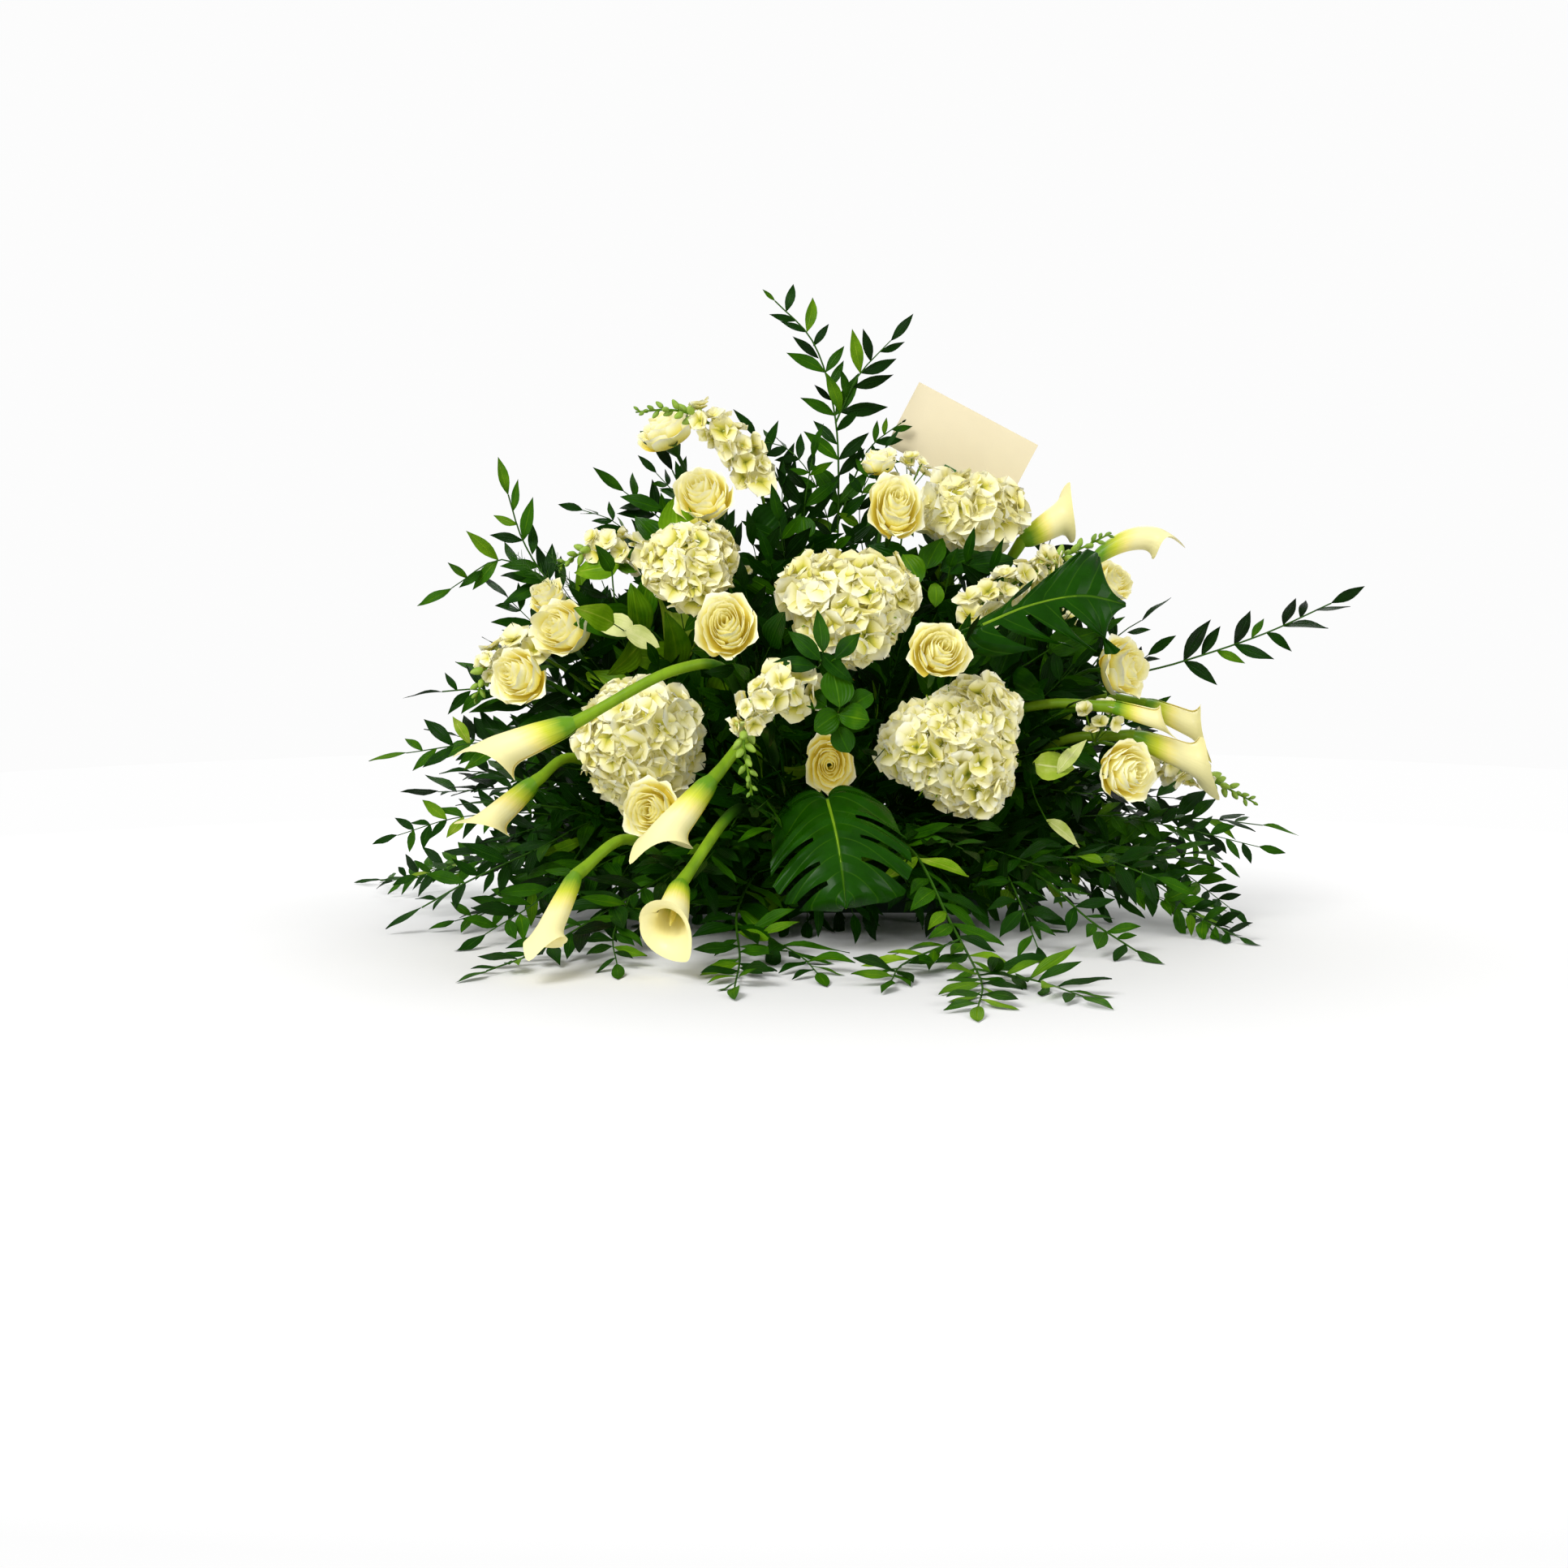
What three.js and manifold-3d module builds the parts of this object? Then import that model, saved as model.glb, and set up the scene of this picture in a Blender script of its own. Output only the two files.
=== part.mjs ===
// Casket spray: roses, hydrangeas, snapdragons, callas and foliage in wet foam in a saddle tray.
// Millimetres, +Z up, seen from -Y. The origin is the middle of the tray's flat underside.
import * as THREE from 'three';
import { mergeVertices } from 'three/addons/utils/BufferGeometryUtils.js';
import Module from 'manifold-3d';

const wasm = await Module();
wasm.setup();

// Driving dimensions
const GAP = 0.3;
const SURFACE = 1.2;
const TRAY = { length: 400, width: 160, height: 38, wall: 2.5, floor: 3, corner: 26 };
const FOAM = { length: 380, width: 138, height: 110, edge: 9, lift: TRAY.floor + GAP };
const HOLE = { depth: 25, spacing: 19, sides: 4, marginX: 38, marginY: 30, low: 52, high: 86 };
const CARD = { at: [176, 30, 566], width: 166, height: 86, thick: 0.8, tilt: 27.6, via: [150, 30, 420] };
const PICK = { width: 16, thick: 6, height: 26, grip: 12, stem: 2.5 };
const EXIT = 4;
const LEAD = 28;
const STEM_PITCH = 95;
const CALLA_PITCH = 58;
const SPIKE_PITCH = 55;
const BARE_PITCH = 110;
const ROSE_STEM = 3.2;
const HYDRANGEA_STEM = 4.2;
const SNAPDRAGON_STEM = 3;
const CALLA_STEM = 6;
const LEAF_STEM = 2;
const BLADE_ROOM = 1.6;

// Rose whorls from the outside in: radii as shares of the radius, heights as shares of the height
const ROSE_HEIGHT = 0.8;
const WHORLS = [
  { petals: 5, rim: 1.0, top: 0.66, edge: 0.42, groove: 0.6, floor: 0.36 },
  { petals: 5, rim: 0.76, top: 0.87, edge: 0.6, groove: 0.44, floor: 0.56 },
  { petals: 4, rim: 0.5, top: 0.97, edge: 0.76, groove: 0.26, floor: 0.73 },
  { petals: 3, rim: 0.27, top: 1.0, edge: 0.88, groove: 0, floor: 0.85 },
];
// Each petal's rim: share of its sector, share of the rim's radius, 0 at the edge and 1 at the top
const WHORL_TURN = 0.9;
const PETAL_RIM = [[0.04, 0.84, 0], [0.5, 1, 1], [0.95, 0.99, 0]];
const PETAL_VARY = 0.05;
// Calyx under a rose: radius and height of its rings as shares, and how its sepals spread
const CALYX = { base: [0.15, 0.04], tip: [1, 0.05], neck: [0.24, 0.09], bowl: [0.56, 0.2] };
const SEPAL = { notch: 0.2, spread: 0.62, sag: 0.4 };

// Blooms: middle of the head, its width, where it faces, and points that its stem passes
const ROSES = [
  { at: [-189, -15, 582], wide: 76, face: [-0.3, -0.25, 0.92], sepals: true },
  { at: [-139, -105, 499], wide: 80, face: [-0.2, -0.85, 0.45] },
  { at: [-109, -238, 348], wide: 86, face: [-0.1, -0.95, 0.25] },
  { at: [-308, -118, 343], wide: 84, face: [-0.55, -0.78, 0.25] },
  { at: [-330, -50, 382], wide: 54, face: [-0.35, -0.6, 0.7] },
  { at: [-352, -170, 287], wide: 76, face: [-0.45, -0.85, 0.1] },
  { at: [126, -296, 322], wide: 84, face: [0.08, -0.95, 0.28], via: [[115, -190, 318]] },
  { at: [86, -130, 485], wide: 90, face: [0.05, -0.9, 0.4] },
  { at: [69, -50, 542], wide: 46, face: [-0.1, -0.2, 0.97], sepals: true },
  { at: [358, -112, 296], wide: 72, face: [0.65, -0.72, 0.1], sepals: true },
  { at: [351, -205, 181], wide: 80, face: [0.45, -0.85, 0.02] },
  { at: [-190, -300, 146], wide: 70, face: [-0.25, -0.92, 0.1] },
  { at: [8, -215, 190], wide: 62, face: [0, -0.97, -0.1] },
  { at: [356, -20, 398], wide: 62, face: [0.5, -0.7, 0.45] },
  { at: [-120, 150, 400], wide: 80, face: [-0.2, 0.8, 0.55] },
];
const HYDRANGEAS = [
  { at: [-151, -172, 417], size: [124, 104, 88], face: [-0.15, -0.85, 0.45] },
  { at: [30, -215, 372], size: [180, 146, 96], face: [0, -0.9, 0.42], large: true },
  { at: [182, -55, 479], size: [126, 92, 90], face: [0.15, -0.75, 0.6] },
  { at: [-207, -232, 218], size: [130, 138, 88], face: [-0.25, -0.95, 0.1] },
  { at: [150, -232, 213], size: [182, 170, 100], face: [0.12, -0.98, 0.08], large: true },
  { at: [10, 190, 300], size: [150, 130, 96], face: [0, 0.92, 0.35] },
];
// Florets of a round bloom, as shares of its radius: the core under them, their petals' reach on a
// small and a large bloom, the notches between petals, the dip in the middle, and how they vary
const FLORETS = { core: 0.82, small: 0.325, large: 0.225, notch: 0.48, dip: 0.93, eye: 0.89, vary: 0.03 };
// Florets cover the bloom but for the part round its stem, below this share of its depth
const BARE_BACK = -0.7;
const FLORET_TURN = 0.35;
const SNAPDRAGONS = [
  {
    path: [[-60, -30, 440], [-82, -55, 533], [-138, -82, 588], [-175, -95, 599], [-218, -100, 596]],
    spike: 190,
  },
  { path: [[165, -150, 350], [200, -150, 382], [262, -132, 416], [340, -112, 455]], spike: 205 },
  {
    path: [[0, -225, 255], [-20, -275, 272], [-58, -325, 280], [-86, -362, 240], [-78, -378, 172]],
    spike: 190,
  },
  { path: [[330, -70, 205], [379, -70, 191], [457, -70, 166], [525, -70, 132]], spike: 170 },
  { path: [[-190, -40, 405], [-225, -42, 432], [-268, -45, 440], [-316, -48, 416]], spike: 120 },
  { path: [[-320, -60, 300], [-362, -84, 316], [-394, -92, 300], [-411, -98, 256]], spike: 105 },
];
// Callas: neck where the spathe starts, tip of the spathe, mouth radius, side bend, stem points
const CALLAS = [
  { neck: [-269, -332, 247], tip: [-392, -352, 204], mouth: 26, via: [[-110, -255, 300], [-160, -300, 303]] },
  { neck: [-322, -258, 176], tip: [-394, -282, 112], mouth: 22, via: [[-284, -185, 196]] },
  { neck: [-262, -420, 92], tip: [-290, -556, 24], mouth: 22, via: [[-170, -300, 90], [-215, -352, 122]] },
  { neck: [-120, -352, 188], tip: [-190, -392, 106], mouth: 26, via: [[-70, -270, 235]] },
  { neck: [-152, -425, 84], tip: [-163, -545, 34], mouth: 28, via: [[-95, -310, 150]] },
  { neck: [325, -62, 424], tip: [438, -66, 436], mouth: 21, bend: -0.14, via: [[240, -50, 360]] },
  { neck: [242, -45, 446], tip: [312, -30, 498], mouth: 24, via: [[205, -20, 380]] },
  { neck: [335, -165, 254], tip: [414, -182, 232], mouth: 13, via: [[190, -125, 235], [265, -145, 256]] },
  { neck: [388, -70, 252], tip: [476, -92, 214], mouth: 22, via: [[320, -40, 256]] },
  { neck: [363, -140, 219], tip: [472, -150, 176], mouth: 24, via: [[225, -60, 160], [290, -115, 212]] },
];

// Spathe of a calla from its neck: share of its length, radius as a share of the mouth, and radius
// to add. Then its lip, and the spadix inside: share of its length and radius.
const SPATHE = {
  outer: [[0.02, 0, 6.5], [0.16, 0, 10], [0.42, 0.45, 4], [0.7, 0.62, 2]],
  inner: [[0.68, 0.62, 0], [0.4, 0.42, 0]],
  lip: { low: 0.84, flare: 0.25 },
  spadix: [[0.38, 3.5], [0.7, 3]],
  spadixTip: 0.76,
};

// Florets and buds of a snapdragon: sides of each ring, then its radius, height and turn, as shares
const OPEN_FLORET = [[1, 0, 0, 0], [4, 0.34, 0.5, 0], [4, 0.6, 0.95, 0.4], [1, 0, 0.78, 0]];
const BUD = [[1, 0, 0, 0], [3, 0.32, 0.55, 0], [1, 0, 1, 0]];
const FLORET_PITCH = 22;

// Split leaves: stem points, rib from its junction to its tip, way that the upper face looks
const MONSTERAS = [
  {
    via: [[0, -200, 140]],
    rib: [[4, -292, 158], [12, -336, 128], [18, -368, 92], [22, -388, 52]],
    face: [0, -0.85, 0.5],
    reach: 80,
  },
  {
    via: [[120, -150, 300]],
    rib: [[180, -222, 350], [235, -215, 372], [295, -205, 382], [346, -190, 372]],
    face: [0.1, -0.9, 0.42],
    reach: 68,
  },
];
// Web between the lobes and tip of a split leaf, as shares of its reach, and its lobes. Each lobe
// of half a leaf is given from the junction: share of the rib where it starts, share where it
// ends, and how far back or forward and how far out its corner points lie, as shares
const WEB = { start: 0.36, end: 0.3, drop: 0.12 };
const TIP = { length: 0.5, width: 0.95 };
const LOBE_DROP = 0.24;
const LOBES = [
  { back: [-0.16, 0.62], tip: [0.02, 0.92], front: [0.16, 0.98] },
  { back: [0.22, 1.0], tip: [0.34, 1.04], front: [0.42, 1.0] },
  { back: [0.46, 0.98], tip: [0.58, 0.94], front: [0.64, 0.86] },
  { back: [0.68, 0.82], tip: [0.8, 0.72], front: [0.86, 0.58] },
];

// Leaf kinds: length, width, spacing along the stem, angle to the stem, outline as shares
const NARROW = {
  length: 73, width: 27, spacing: 56, angle: 48,
  outline: [[0.42, -0.5], [1, 0], [0.42, 0.5]],
};
const BROAD = {
  length: 88, width: 54, spacing: 80, angle: 52,
  outline: [[0.28, -0.42], [0.68, -0.42], [1, 0], [0.68, 0.42], [0.28, 0.42]],
};
// Bends that a leaf tries, in radians, until it hangs clear of its neighbours
const BENDS = [0.2, -0.15, 0.55, -0.5, 0.9, -0.85, 1.2];

// Sprays of foliage: a trunk from the foam, its leafy share, and twigs that leave it
const SPRAYS = [
  // Tall ruscus over the middle
  { trunk: [[18, -5, 300], [22, 0, 450], [18, 0, 600], [-10, 0, 690], [-55, 0, 737]], bare: 0.5,
    face: [0, -1, 0.1],
    twigs: [{ path: [[18, 0, 590], [45, -8, 645], [85, -14, 688]] },
      { path: [[21, 0, 470], [60, 10, 560], [100, 18, 592]], bare: 0.45 }] },
  { trunk: [[-20, 10, 300], [-25, 5, 440], [-50, 0, 520], [-78, -5, 572]], bare: 0.5, face: [0, -1, 0.2],
    twigs: [{ path: [[-24, 6, 420], [-18, -30, 500], [-10, -45, 545]] }] },
  // Ruscus and round leaves, upper left
  { trunk: [[-85, 15, 300], [-125, 25, 430], [-165, 30, 500], [-182, 32, 535]], bare: 0.5,
    face: [0.1, -1, 0.3],
    twigs: [{ path: [[-118, 24, 400], [-190, 16, 470], [-240, 0, 508]] },
      { path: [[-90, 20, 300], [-150, 90, 330], [-215, 130, 330]], bare: 0.3 }] },
  { trunk: [[-180, 20, 250], [-270, 20, 345], [-335, 15, 400], [-365, 5, 450], [-381, 0, 504]], bare: 0.52,
    face: [0.1, -1, 0.3],
    twigs: [{ path: [[-300, 18, 370], [-390, 10, 425], [-452, 0, 390]], bare: 0.25 }] },
  // Left side, out and down to the surface
  { trunk: [[-280, -20, 190], [-360, -40, 250], [-410, -50, 268], [-456, -60, 266]], bare: 0.4,
    face: [0, -0.6, 0.8],
    twigs: [{ path: [[-290, -22, 198], [-400, -60, 205], [-500, -62, 192]], bare: 0.2 }] },
  { trunk: [[-290, 20, 90], [-400, 60, 45], [-490, 110, 20], [-574, 150, 8]], bare: 0.2, face: [0, -0.2, 1],
    twigs: [{ path: [[-280, 18, 92], [-380, -50, 75], [-470, -70, 50]] },
      { path: [[-260, 18, 98], [-310, 100, 110], [-330, 175, 90]] }] },
  { trunk: [[-250, -140, 120], [-330, -190, 90], [-400, -220, 60], [-455, -235, 30]], bare: 0.15,
    face: [0, -0.6, 0.9],
    twigs: [{ path: [[-240, -134, 122], [-300, -200, 140], [-370, -240, 150]] },
      { path: [[-260, -148, 115], [-310, -260, 50], [-370, -330, 15]] }] },
  { trunk: [[-130, -200, 84], [-220, -320, 50], [-300, -430, 14], [-345, -505, 6]], bare: 0.2,
    face: [0, -0.4, 1],
    twigs: [{ path: [[-215, -312, 62], [-225, -400, 25], [-215, -480, 8]] }] },
  // Front, down to the surface and forward along it
  { trunk: [[-70, -200, 70], [-95, -330, 40], [-90, -450, 10], [-92, -590, 6]], bare: 0.25,
    face: [0, -0.3, 1],
    twigs: [{ path: [[-92, -360, 30], [-30, -440, 12], [-10, -520, 6]] }] },
  { trunk: [[60, -180, 110], [100, -300, 100], [132, -400, 40], [150, -480, 8], [150, -580, 5],
    [136, -690, 5]], bare: 0.3,
    face: [0, -0.3, 1],
    twigs: [{ path: [[140, -430, 24], [80, -480, 10], [62, -560, 6]] },
      { path: [[150, -500, 7], [205, -560, 6], [240, -640, 6]] }] },
  // Right side, down to the surface and out
  { trunk: [[170, -150, 80], [240, -260, 70], [290, -330, 30], [330, -400, 8]], bare: 0.2, face: [0, -0.4, 1],
    twigs: [{ path: [[220, -230, 74], [300, -250, 90], [370, -280, 70]] },
      { path: [[200, -200, 78], [210, -310, 60], [225, -400, 12]] }] },
  { trunk: [[270, -40, 90], [360, -90, 70], [430, -150, 20], [440, -250, 6]], bare: 0.15, face: [0, -0.4, 1],
    twigs: [{ path: [[300, -55, 88], [380, -60, 110], [465, -60, 112], [536, -60, 104]] },
      { path: [[340, -80, 76], [380, -160, 80], [420, -220, 90]] }] },
  // Long sprig that arches out on the right
  { trunk: [[230, 30, 190], [340, 10, 268], [440, -20, 300], [540, -30, 335], [620, -32, 372]], bare: 0.66,
    face: [-0.3, -0.8, 0.6],
    twigs: [{ path: [[300, 18, 242], [370, 30, 330], [400, 30, 350]] },
      { path: [[240, 28, 200], [290, 100, 210], [310, 160, 180]], bare: 0.3 }] },
  // Broad leaves between the blooms
  { trunk: [[-10, -110, 170], [-8, -190, 240], [5, -255, 285]], bare: 0.4, face: [0, -0.9, 0.4], kind: BROAD,
    twigs: [{ path: [[-9, -120, 180], [-75, -185, 280], [-60, -235, 325]], bare: 0.3 },
      { path: [[-10, -100, 160], [-80, -195, 150], [-115, -260, 105]], bare: 0.35 }] },
  { trunk: [[-110, -60, 220], [-190, -90, 330], [-240, -110, 370], [-245, -125, 410]], bare: 0.4,
    face: [0, -0.9, 0.4], kind: BROAD,
    twigs: [{ path: [[-150, -74, 280], [-215, -130, 330], [-240, -175, 350]], bare: 0.2 },
      { path: [[-115, -62, 230], [-230, -110, 260], [-300, -140, 240]], bare: 0.2 }] },
  { trunk: [[90, -60, 230], [130, -80, 340], [146, -105, 385], [150, -125, 415]], bare: 0.4,
    face: [0, -0.9, 0.4], kind: BROAD,
    twigs: [{ path: [[100, -64, 260], [220, -110, 290], [265, -150, 320]], bare: 0.2 },
      { path: [[94, -60, 240], [225, -90, 235], [285, -170, 200]], bare: 0.2 }] },
  // Back
  { trunk: [[60, 130, 150], [110, 180, 220], [140, 190, 300], [150, 180, 380]], bare: 0.2,
    face: [0, 0.8, 0.5], kind: BROAD,
    twigs: [{ path: [[50, 120, 140], [-60, 200, 150], [-160, 230, 170]], bare: 0.35 },
      { path: [[80, 150, 180], [160, 195, 130], [225, 205, 95]], bare: 0.35 },
      { path: [[40, 100, 125], [20, 170, 80], [-5, 215, 40]], bare: 0.35 },
      { path: [[36, 90, 120], [-70, 130, 95], [-150, 160, 70]], bare: 0.35 },
      { path: [[52, 115, 138], [120, 100, 170], [185, 85, 200]], bare: 0.35 }] },
];

// Finishes
const FINISHES = {
  petal: { color: '#faf7dc', roughness: 0.6 },
  calla: { color: '#faf3d2', roughness: 0.45 },
  leaf: { color: '#1f5a17', roughness: 0.45 },
  spike: { color: '#e9edc4', roughness: 0.6 },
  foam: { color: '#2f5a3a', roughness: 0.95 },
  tray: { color: '#20402a', roughness: 0.5 },
  card: { color: '#ebdcbe', roughness: 0.85 },
  pick: { color: '#3c6b3f', roughness: 0.4 },
};

const spray = new THREE.Group();
const placed = [];

const vec = (list) => new THREE.Vector3(...list);
const heading = (list) => vec(list).normalize();

// A repeatable draw between -1 and 1
function sway(seed) {
  const value = Math.sin(seed * 12.9898) * 43758.5453;
  return 2 * (value - Math.floor(value)) - 1;
}

// A closed surface built from rings of points that are joined by strips of triangles
class Skin {
  constructor() {
    this.points = [];
    this.faces = [];
  }

  ring(points) {
    return points.map((point) => this.points.push(point) - 1);
  }

  face(a, b, c, flip = false) {
    this.faces.push(flip ? [a, c, b] : [a, b, c]);
  }

  strip(low, high) {
    const lowSteps = low.length > 1 ? low.length : 0;
    const highSteps = high.length > 1 ? high.length : 0;
    let i = 0;
    let j = 0;
    while (i < lowSteps || j < highSteps) {
      const lowFirst = i < lowSteps && (i + 1) * highSteps <= (j + 1) * lowSteps;
      if (j >= highSteps || lowFirst) {
        this.face(low[i % low.length], low[(i + 1) % low.length], high[j % high.length]);
        i += 1;
      } else {
        this.face(low[i % low.length], high[(j + 1) % high.length], high[j % high.length]);
        j += 1;
      }
    }
  }

  loft(rings) {
    const levels = rings.map((points) => this.ring(points));
    levels.slice(1).forEach((high, k) => this.strip(levels[k], high));
  }

  solid() {
    const vertProperties = new Float32Array(this.points.flatMap((point) => point.toArray()));
    const triVerts = new Uint32Array(this.faces.flat());
    return new wasm.Manifold(new wasm.Mesh({ numProp: 3, vertProperties, triVerts }));
  }
}

function nearestIndex(ring, guide) {
  const apart = ring.map((point) => point.distanceTo(guide));
  return apart.indexOf(Math.min(...apart));
}

const startAt = (ring, index) => [...ring.slice(index), ...ring.slice(0, index)];

function circle(count, radius, height, turn = 0) {
  return Array.from({ length: count }, (unused, k) => {
    const angle = turn + (k * 2 * Math.PI) / count;
    return new THREE.Vector3(radius * Math.cos(angle), radius * Math.sin(angle), height);
  });
}

function solidOf(geometry) {
  const bare = geometry.clone();
  for (const name of Object.keys(bare.attributes)) {
    if (name !== 'position') bare.deleteAttribute(name);
  }
  const merged = mergeVertices(bare, 1e-4);
  const vertProperties = new Float32Array(merged.attributes.position.array);
  const triVerts = new Uint32Array(merged.index.array);
  return new wasm.Manifold(new wasm.Mesh({ numProp: 3, vertProperties, triVerts }));
}

function place(name, solid, finish) {
  const shape = solid.getMesh();
  const geometry = new THREE.BufferGeometry();
  geometry.setAttribute('position', new THREE.BufferAttribute(new Float32Array(shape.vertProperties), 3));
  geometry.setIndex(new THREE.BufferAttribute(new Uint32Array(shape.triVerts), 1));
  geometry.computeVertexNormals();
  const material = new THREE.MeshStandardMaterial({ ...FINISHES[finish], metalness: 0 });
  const mesh = new THREE.Mesh(geometry, material);
  mesh.name = name;
  spray.add(mesh);
  placed.push(solid);
}

// A matrix that carries local +Z to the way a bloom faces, with local +X as level as it can be
function standing(origin, axis) {
  const up = Math.abs(axis.z) > 0.95 ? new THREE.Vector3(0, 1, 0) : new THREE.Vector3(0, 0, 1);
  const across = new THREE.Vector3().crossVectors(up, axis).normalize();
  const along = new THREE.Vector3().crossVectors(axis, across);
  return new THREE.Matrix4().makeBasis(across, along, axis).setPosition(origin);
}

// Faces of the foam that stems enter, each with the room where their holes may lie
const foamTop = FOAM.lift + FOAM.height;
const roomX = FOAM.length / 2 - HOLE.marginX;
const roomY = FOAM.width / 2 - HOLE.marginY;
const roomZ = (HOLE.high - HOLE.low) / 2;
const holeZ = (HOLE.high + HOLE.low) / 2;
const sideFace = (out, reach) => ({
  out: vec(out),
  middle: vec(out).multiplyScalar(reach).setZ(holeZ),
  first: out[0] ? new THREE.Vector3(0, 1, 0) : new THREE.Vector3(1, 0, 0),
  second: new THREE.Vector3(0, 0, 1),
  room: [out[0] ? roomY : roomX, roomZ],
});
const FACES = [
  {
    out: new THREE.Vector3(0, 0, 1),
    middle: new THREE.Vector3(0, 0, foamTop),
    first: new THREE.Vector3(1, 0, 0),
    second: new THREE.Vector3(0, 1, 0),
    room: [roomX, roomY],
  },
  sideFace([0, -1, 0], FOAM.width / 2),
  sideFace([0, 1, 0], FOAM.width / 2),
  sideFace([-1, 0, 0], FOAM.length / 2),
  sideFace([1, 0, 0], FOAM.length / 2),
];

const clamp = (value, limit) => Math.max(-limit, Math.min(limit, value));

// The hole of a stem whose nearest free point is given, on the face that the line to it leaves by
function holeFor(target, radius) {
  const core = new THREE.Vector3(clamp(target.x * 0.4, roomX), 0, FOAM.height / 3);
  const way = target.clone().sub(core).normalize();
  let best = null;
  for (const face of FACES) {
    const rate = way.dot(face.out);
    const reach = face.middle.clone().sub(core).dot(face.out) / rate;
    if (rate > 1e-6 && (!best || reach < best.reach)) best = { face, reach };
  }
  const offset = core.addScaledVector(way, best.reach).sub(best.face.middle);
  return { face: best.face, spot: [offset.dot(best.face.first), offset.dot(best.face.second)], radius };
}

// Moves the holes of one face apart until they keep their spacing
function spreadHoles(holes) {
  for (let pass = 0; pass < 300; pass += 1) {
    for (const [index, hole] of holes.entries()) {
      for (const other of holes.slice(index + 1)) {
        if (other.face !== hole.face) continue;
        const step = [other.spot[0] - hole.spot[0], other.spot[1] - hole.spot[1]];
        const apart = Math.hypot(...step);
        if (apart >= HOLE.spacing) continue;
        const push = (HOLE.spacing - apart) / (2 * Math.max(apart, 1));
        for (const k of [0, 1]) {
          hole.spot[k] -= step[k] * push;
          other.spot[k] += step[k] * push;
        }
      }
      hole.spot = hole.spot.map((value, k) => clamp(value, hole.face.room[k]));
    }
  }
  for (const hole of holes) {
    const { face, spot } = hole;
    hole.mouth = face.middle.clone()
      .addScaledVector(face.first, spot[0])
      .addScaledVector(face.second, spot[1]);
    hole.bottom = hole.mouth.clone().addScaledVector(face.out, GAP - HOLE.depth);
    hole.exit = hole.mouth.clone().addScaledVector(face.out, EXIT);
    hole.lead = hole.mouth.clone().addScaledVector(face.out, LEAD);
  }
}

// Where the first corner of a stem's rings points before it is squared to the stem
const FIRST_SIDE = new THREE.Vector3(0.31, 0.17, 0.93);

// Rings of a round stem through a line of centres, the side of each carried on from the last.
// The last ring lies square to the end way, where one is given.
function stemRings(centres, radii, sides, endWay) {
  let side = FIRST_SIDE.clone();
  return centres.map((centre, k) => {
    const before = centres[Math.max(k - 1, 0)];
    const after = centres[Math.min(k + 1, centres.length - 1)];
    const ends = endWay && k === centres.length - 1;
    const ahead = ends ? endWay : after.clone().sub(before).normalize();
    side = side.clone().addScaledVector(ahead, -side.dot(ahead)).normalize();
    const other = new THREE.Vector3().crossVectors(ahead, side);
    return circle(sides, radii(k / (centres.length - 1)), 0).map((spot) => (
      centre.clone().addScaledVector(side, spot.x).addScaledVector(other, spot.y)));
  });
}

// Centres of a stem from the bottom of its hole to the last of the given points
function stemCentres(hole, points, pitch) {
  const curve = new THREE.CatmullRomCurve3([hole.exit, hole.lead, ...points]);
  const steps = Math.max(3, Math.round(curve.getLength() / pitch));
  return [hole.bottom, ...curve.getSpacedPoints(steps)];
}

// The point of a line of centres that lies nearest to a given one
function nearestOn(centres, point) {
  let best = centres[0];
  for (let k = 0; k + 1 < centres.length; k += 1) {
    const span = new THREE.Line3(centres[k], centres[k + 1]);
    const spot = span.closestPointToPoint(point, true, new THREE.Vector3());
    if (spot.distanceTo(point) < best.distanceTo(point)) best = spot;
  }
  return best;
}

// The largest body of a solid, without loose scraps
function largest(solid) {
  const bodies = solid.decompose();
  return bodies.reduce((best, body) => (body.volume() > best.volume() ? body : best));
}

function roseHead(rose) {
  const radius = rose.wide / 2;
  const height = rose.wide * ROSE_HEIGHT;
  const level = (count, [wide, tall]) => circle(count, wide * radius, tall * height);
  const rings = [level(5, CALYX.base)];
  if (rose.sepals) {
    const [inward, outward] = [[SEPAL.notch, SEPAL.notch, 1], [SEPAL.spread, SEPAL.spread, SEPAL.sag]];
    rings.push(level(10, CALYX.tip).map((spot, k) => spot.multiply(vec(k % 2 ? inward : outward))));
    rings.push(level(5, CALYX.neck));
  }
  rings.push(level(10, CALYX.bowl));
  WHORLS.forEach((whorl, order) => {
    const turn = order * WHORL_TURN;
    const rim = [];
    for (let petal = 0; petal < whorl.petals; petal += 1) {
      const vary = 1 + PETAL_VARY * sway(rose.at[0] + 7 * order + petal);
      for (const [share, out, rise] of PETAL_RIM) {
        const angle = turn + ((petal + share) * 2 * Math.PI) / whorl.petals;
        const tall = height * (whorl.edge + (whorl.top - whorl.edge) * rise) * (rise ? vary : 1);
        const away = radius * whorl.rim * out;
        rim.push(new THREE.Vector3(away * Math.cos(angle), away * Math.sin(angle), tall));
      }
    }
    rings.push(rim);
    const [groove, floor] = [whorl.groove * radius, whorl.floor * height];
    rings.push(groove ? circle(whorl.petals, groove, floor, turn + 0.6) : [new THREE.Vector3(0, 0, floor)]);
  });
  for (let k = 1; k < rings.length; k += 1) {
    rings[k] = startAt(rings[k], nearestIndex(rings[k], rings[k - 1][0]));
  }
  return rings;
}

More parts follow.
